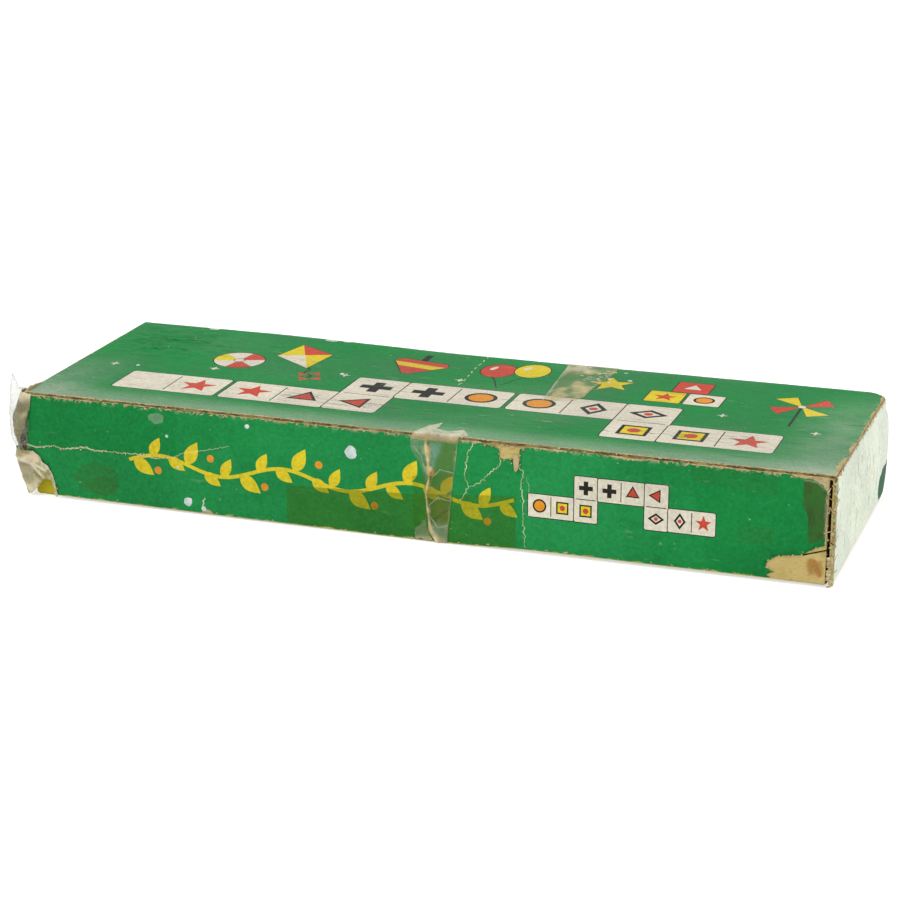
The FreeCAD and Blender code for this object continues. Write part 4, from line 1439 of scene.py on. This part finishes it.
CORNER_TAPE = [
    (-30, 17), (-30, 3), (-6, 2), (0, 1.2), (4, 3.2), (6, 6), (8.1, 8.2), (11.3, 8.4), (12.4, 5),
    (12.9, 1.6), (14.1, 1.6), (13.4, 6), (12, 11), (10, 14.4), (7.4, 16), (6.3, 18.4), (4, 20.4),
    (0, 20.8), (-10, 19),
]
CORNER_CREASES = [[(-4, 19.6), (3, 15.0), (9, 12.4)], [(-3, 19), (-1.5, 9), (2, 3)], [(3, 15), (8, 9)]]


def corner_tone(u, v):
    """Tone of the crumpled tape: olive film with pale folds and a scrap of paper under it."""
    scrap_gap = math.hypot((u - 3.6) / 3.6, (v - 17.2) / 2.6)
    return coated(
        (0.44, 0.38, 0.17),
        0.80,
        ((0.80, 0.72, 0.46), 0.92, smooth(crumple(111, u, v, 7), 0.35, 0.9)),
        ((0.80, 0.66, 0.46), 0.97, 1 - smooth(scrap_gap, 0.8, 1.05)),
        ((0.86, 0.79, 0.56), 0.97, beside(CORNER_CREASES, u, v, 0.15, 0.7)),
        ((0.84, 0.78, 0.58), 0.95, beside([CORNER_TAPE[7:15]], u, v, 0.3, 0.9)),
    )


def corner_lift(u, v):
    """Height of the crumpled tape, which bulges over the torn corner."""
    bulge = 1.2 * (1 - smooth(math.hypot(u / 9, (v - 12) / 9), 0.2, 1.0))
    bulge += 5.0 * (1 - smooth(math.hypot((u + 3) / 8, (v - 22) / 18), 0.0, 1.0))
    return 0.15 + 1.1 * crumple(111, u, v, 7) + bulge + 0.6 * beside(CORNER_CREASES, u, v, 0.0, 1.0)


film(
    "tape_left_corner_film",
    round_left,
    CORNER_TAPE,
    corner_tone,
    corner_lift,
    ["tape_left_corner"],
    1.0,
    CORNER_CREASES,
)
CORNER_STRIP = [
    (-9, 21), (-9, 43), (-6, 44.2), (0, 44.4), (3.8, 44.3), (3.2, 40), (2.4, 36), (1.1, 31), (0.6, 27),
    (0.5, 23), (1.0, 19), (0.2, 16.5), (-4, 15.5), (-8, 17),
]


def strip_tone(u, v):
    """Tone of the creased strip along the upright corner."""
    return coated(
        (0.34, 0.30, 0.15),
        0.84,
        ((0.74, 0.68, 0.46), 0.94, smooth(crumple(113, u, v / 2.2, 4), 0.25, 0.8)),
        ((0.30, 0.22, 0.08), 0.9, 0.6 * (1 - smooth(v, 24, 32))),
        ((0.76, 0.68, 0.46), 0.95, smooth(v, 40, 43)),
    )


def strip_lift(u, v):
    """Height of the creased strip."""
    bulge = 6.2 * (1 - smooth(math.hypot((u + 3) / 7, (v - 30) / 21), 0.0, 1.0))
    return 0.12 + 0.9 * crumple(113, u, v / 2.2, 4) + bulge


film("tape_left_strip", round_left, CORNER_STRIP, strip_tone, strip_lift, (), 0.9)
LOOSE_FLAP = [
    (-20, 23.5), (-20, 43.4), (-46, 43.2), (-54, 46), (-57.6, 53.4), (-59.6, 46), (-60.6, 35), (-60, 25),
    (-57, 20), (-52, 22),
]
FLAP_REACH = 4.6


def loose_flap(u, v, lift):
    """Place on the left end, leaving it towards the front corner."""
    reach = FLAP_REACH * smooth(-u, 42, 62)
    return Vector((-HALF_LENGTH - 0.12 - reach - lift, u, v))


def flap_tone(u, v):
    """Tone of the loose film: clear, with pale creases and edges."""
    edge = beside([LOOSE_FLAP + LOOSE_FLAP[:1]], u, v, 0.2, 0.9)
    fold = smooth(crumple(115, u, v, 8), 0.55, 0.95)
    return coated((0.66, 0.67, 0.60), 0.34, ((0.52, 0.52, 0.44), 0.6, max(edge, 0.6 * fold)))


def flap_lift(u, v):
    """Unevenness of the loose film."""
    return 0.9 * crumple(115, u, v, 8) * smooth(-u, 40, 50)


film("tape_left_flap_film", loose_flap, LOOSE_FLAP, flap_tone, flap_lift, ["tape_left_flap"])
RIGHT_PATCH = [
    (157.0, 42.6), (157.5, 31.9), (159.2, 29.3), (160.3, 17.2), (166.6, 20.5), (166.6, 38.8), (162.8, 42.2),
]


def right_tone(u, v):
    """Tone of the clear patch: dark, with a pale cut edge."""
    cut_edge = RIGHT_PATCH[4:] + RIGHT_PATCH[:1]
    return coated(
        (0.12, 0.16, 0.03),
        0.2,
        ((0.08, 0.12, 0.02), 0.4, smooth(waver(117, u / 4, v / 5), 0.0, 0.4)),
        ((0.50, 0.58, 0.36), 0.5, beside([cut_edge], u, v, 0.1, 0.5)),
    )


film("tape_right_patch", front.place, RIGHT_PATCH, right_tone, thin_lift, ["tape_right_corner"])
GLUE = [
    (158.4, 10.6), (161.0, 12.0), (164.0, 11.4), (166.4, 12.2), (166.4, 6.0), (164.2, 2.8), (160.4, 4.6),
]


def glue_tone(u, v):
    """Tone of the old glue on the bared corner."""
    inner = smooth(gap_to(GLUE + GLUE[:1], (u, v)), 0.0, 1.2)
    streak = smooth(waver(119, (u + 0.25 * v) / 1.3, v / 9), -0.5, 0.5)
    return (0.56, 0.27, 0.04), inner * (0.12 + 0.75 * streak)


def glue_lift(u, v):
    """Height of the glue, which lies where the paper was."""
    return -0.12 + 0.04 * waver(121, u / 2, v / 2)


film("glue_stain", front.place, GLUE, glue_tone, glue_lift)

# Wooden dominoes
BEVEL = 0.9
ROUNDING = 1.5
GROOVE = 1.2
GROOVE_DEPTH = 0.6
SIGN_SIZE = 9.5


def wooden_domino(name, pair):
    """Bevelled block with a groove across its face and two painted signs."""
    low, high = [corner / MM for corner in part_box(name)]
    middle = (low + high) / 2
    length, _, height = high - low
    outer = oblong(length, height, ROUNDING + BEVEL)
    inner = oblong(length - 2 * BEVEL, height - 2 * BEVEL, ROUNDING)
    layers = [Layer("paper", inner), Layer("groove", oblong(GROOVE, height - 4 * BEVEL))]
    for side, kind in zip((-1, 1), pair):
        for colour, outline in SYMBOLS[kind]:
            layers.append(Layer("print", moved(outline, side * length / 4, 0, 0, SIGN_SIZE), colour))
    groove_run = [(0, v) for v in spread(3 * BEVEL - height / 2, height / 2 - 3 * BEVEL, 6)]
    spots, triangles, owners = triangulate(layers, groove_run)
    points = []
    for u, v in spots:
        depth_here = GROOVE_DEPTH if u == 0 else 0
        points.append(Vector((middle.x + u, low.y + depth_here, middle.z + v)))
    faces = []
    inks = []
    for triangle, inside in zip(triangles, owners):
        if inside:
            faces.append(triangle)
            sign = last_print(layers, inside)
            inks += [(*sign, 1.0) if sign else (*CREAM, 0.0)] * 3
    rings = ((inner, low.y), (outer, low.y + BEVEL), (outer, high.y - BEVEL), (inner, high.y))
    first = len(points)
    count = len(inner)
    for outline, y in rings:
        points += [Vector((middle.x + u, y, middle.z + v)) for u, v in outline]
    for ring in range(len(rings) - 1):
        faces += band(first + ring * count, count)
    last = first + (len(rings) - 1) * count
    faces.append([last + index for index in reversed(range(count))])
    inks += [(*CREAM, 0.0)] * (4 * count * (len(rings) - 1) + count)
    piece = add_piece(f"{name}_block", points, faces, (WOOD,), name, [name], None, inks)
    piece.data.set_sharp_from_angle(angle=SHARP_EDGE)


pairs = [(first, second) for first in range(7) for second in range(first, 7)]
for number, pair in enumerate(pairs, 1):
    wooden_domino(f"tile_{number:02d}", pair)


# Leaflet
LEAFLET_PAPER = (0.74, 0.70, 0.58)
LEAFLET_SHEET = 0.08
DRAWN = 25
DRAWN_STEP = 26


def folded_leaflet():
    """Sheet folded once, with drawn rows of dominoes on its upper half."""
    low, high = [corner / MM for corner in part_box("rules_leaflet")]
    middle = (low + high) / 2
    roll = (high.z - low.z - PAPER) / 2
    length = high.x - low.x - roll
    half = (high.y - low.y) / 2
    turn = math.pi * roll

    def place(u, v):
        if u >= 0:
            curl = 0.7 * smooth(u, length - 30, length) * smooth(v, half - 40, half)
            return Vector((low.x + roll + u, middle.y + v, middle.z + roll + curl))
        if u > -turn:
            a = -u / roll
            return Vector((low.x + roll - roll * math.sin(a), middle.y + v, middle.z + roll * math.cos(a)))
        return Vector((low.x + roll - u - turn, middle.y + v, middle.z - roll))

    sheet = [(-turn - length, -half), (length, -half), (length, half), (-turn - length, half)]
    layers = [Layer("paper", sheet), Layer("print", sheet, LEAFLET_PAPER)]
    for row in range(3):
        up = half * 0.62 - row * half * 0.62
        for column in range(4):
            pair = ((row + column) % 7, (row + column + 1) % 7)
            layers += domino(24 + column * DRAWN_STEP, up, 0, DRAWN, pair, FINE_LINE)
        layers += domino(128, up - 6, 90, DRAWN, ((row + 4) % 7, (row + 5) % 7), FINE_LINE)
    border = [(5, 4 - half), (length - 5, 4 - half), (length - 5, half - 4), (5, half - 4), (5, 4 - half)]
    ruled = along(border, 30)
    for start, end in zip(ruled, ruled[1:]):
        layers += flat(DARK, stroke([start, end], [0.2, 0.2]))
    grid = [(u, v) for u in spread(-turn - length, length, 5) for v in spread(-half, half, 5)]
    grid += [(-turn * step / 6, v) for step in range(7) for v in spread(-half, half, 5)]
    spots, triangles, owners = triangulate(layers, grid)
    inks = []
    for inside in owners:
        inks += [(*(last_print(layers, inside) or LEAFLET_PAPER), 1.0)] * 3
    points = [place(u, v) for u, v in spots]
    piece = add_piece(
        "leaflet_sheet",
        points,
        triangles,
        (LEAFLET, LEAFLET),
        "leaflet",
        ["rules_leaflet"],
        inks=inks,
    )
    thicken(piece, LEAFLET_SHEET)


folded_leaflet()

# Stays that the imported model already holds
for name, node in cad_nodes.items():
    if "_stay_" in name:
        node.data.materials.clear()
        node.data.materials.append(KRAFT)

# Boards and tray paper, bent
corner_cuts = []
for gap in spread(0.0, DENT_REACH, 1.0):
    corner_cuts.append(((HALF_LENGTH - gap / 2, HALF_WIDTH - gap / 2, 0), (1, 1, 0)))
lid_cuts = [((x, 0, 0), (1, 0, 0)) for x in spread(-HALF_LENGTH, HALF_LENGTH, 12.0)]
lid_cuts += [((0, y, 0), (0, 1, 0)) for y in spread(-HALF_WIDTH, HALF_WIDTH, 12.0)]
lid_cuts += [((0, 0, z), (0, 0, 1)) for z in spread(RIM, TOP, 5.0)]


def crushed(name, body, material, move=dented, cuts=()):
    """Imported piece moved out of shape, cut into strips first so that it bends."""
    shape = bmesh.new()
    shape.from_mesh(cad_nodes[name].data)
    for spot, normal in corner_cuts + list(cuts):
        whole = shape.verts[:] + shape.edges[:] + shape.faces[:]
        bmesh.ops.bisect_plane(shape, geom=whole, plane_co=Vector(spot) * MM, plane_no=normal)
    shape.verts.index_update()
    points = [move(vert.co / MM) for vert in shape.verts]
    faces = [[vert.index for vert in face.verts] for face in shape.faces]
    shape.free()
    piece = add_piece(f"{name}_crushed", points, faces, (material,), body, [name])
    piece.data.set_sharp_from_angle(angle=SHARP_EDGE)


crushed("lid_board", "lid", LID_BOARD, warped, lid_cuts)
crushed("lid_stay_back_right", "lid", KRAFT)
crushed("tray_board", "tray", TRAY_BOARD)
crushed("tray_wrap", "tray", TRAY_PAPER)
crushed("tray_stay_back_right", "tray", KRAFT)

# Floor
FLOOR_REACH = 3.0
floor_mesh = bpy.data.meshes.new("floor")
corners = [(-FLOOR_REACH, -FLOOR_REACH, 0), (FLOOR_REACH, -FLOOR_REACH, 0)]
corners += [(FLOOR_REACH, FLOOR_REACH, 0), (-FLOOR_REACH, FLOOR_REACH, 0)]
floor_mesh.from_pydata(corners, [], [(0, 1, 2, 3)])
floor = bpy.data.objects.new("floor", floor_mesh)
bpy.context.scene.collection.objects.link(floor)


def seen_ray(tree):
    """1 on rays from the camera, a mirror or glass, 0 on rays that carry light."""
    path = tree.nodes.new("ShaderNodeLightPath")
    total = path.outputs["Is Camera Ray"]
    for other in ("Is Glossy Ray", "Is Transmission Ray"):
        either = tree.nodes.new("ShaderNodeMath")
        either.operation = "MAXIMUM"
        tree.links.new(total, either.inputs[0])
        tree.links.new(path.outputs[other], either.inputs[1])
        total = either.outputs[0]
    return total


def white_floor():
    """White floor that glows enough to look white, and still takes the object's shadow."""
    s = Shader("white_floor", Roughness=0.9, Specular_IOR_Level=0.0)
    s.link("Base Color", s.blend(s.span(s.grain(3, 2), 0.3, 0.7), (0.85, 0.85, 0.84), (0.87, 0.87, 0.86)))
    s.surface.inputs["Emission Color"].default_value = (1.0, 1.0, 0.99, 1.0)
    s.link("Emission Strength", s.math("MULTIPLY", seen_ray(s.tree), 0.55))
    return s.material


floor_mesh.materials.append(white_floor())

# Light
world = bpy.data.worlds.new("studio")
bpy.context.scene.world = world
world.use_nodes = True
sky = world.node_tree.nodes["Background"]
sky.inputs["Color"].default_value = (1.0, 1.0, 1.0, 1.0)
SKY_LIGHT = 0.62
level = world.node_tree.nodes.new("ShaderNodeMapRange")
level.inputs["To Min"].default_value = SKY_LIGHT
level.inputs["To Max"].default_value = 1.0
world.node_tree.links.new(seen_ray(world.node_tree), level.inputs["Value"])
world.node_tree.links.new(level.outputs["Result"], sky.inputs["Strength"])


def soft_light(name, place, aim, size, power):
    """Large soft lamp pointed at a spot."""
    lamp = bpy.data.lights.new(name, "AREA")
    lamp.size = size
    lamp.energy = power
    holder = bpy.data.objects.new(name, lamp)
    holder.location = place
    holder.rotation_euler = (Vector(aim) - Vector(place)).to_track_quat("-Z", "Y").to_euler()
    bpy.context.scene.collection.objects.link(holder)


soft_light("key", (-0.9, -1.3, 1.5), (0, 0, 0.02), 1.2, 14.0)
soft_light("side", (1.7, -0.3, 0.9), (0.1, 0, 0.02), 1.0, 8.0)

# Camera at the photograph's place
AZIMUTH = math.radians(18.96)
ELEVATION = math.radians(17.81)
PLACE = (0.31334, -0.91895, 0.33188)
FOCAL_PIXELS = 2442.2
FRAME_PIXELS = 900
camera = bpy.data.objects.new("camera", bpy.data.cameras.new("camera"))
camera.location = PLACE
camera.rotation_euler = (math.pi / 2 - ELEVATION, 0.0, AZIMUTH)
camera.data.sensor_width = 36.0
camera.data.lens = camera.data.sensor_width * FOCAL_PIXELS / FRAME_PIXELS
bpy.context.scene.collection.objects.link(camera)
bpy.context.scene.camera = camera
bpy.context.scene.view_settings.view_transform = "Standard"
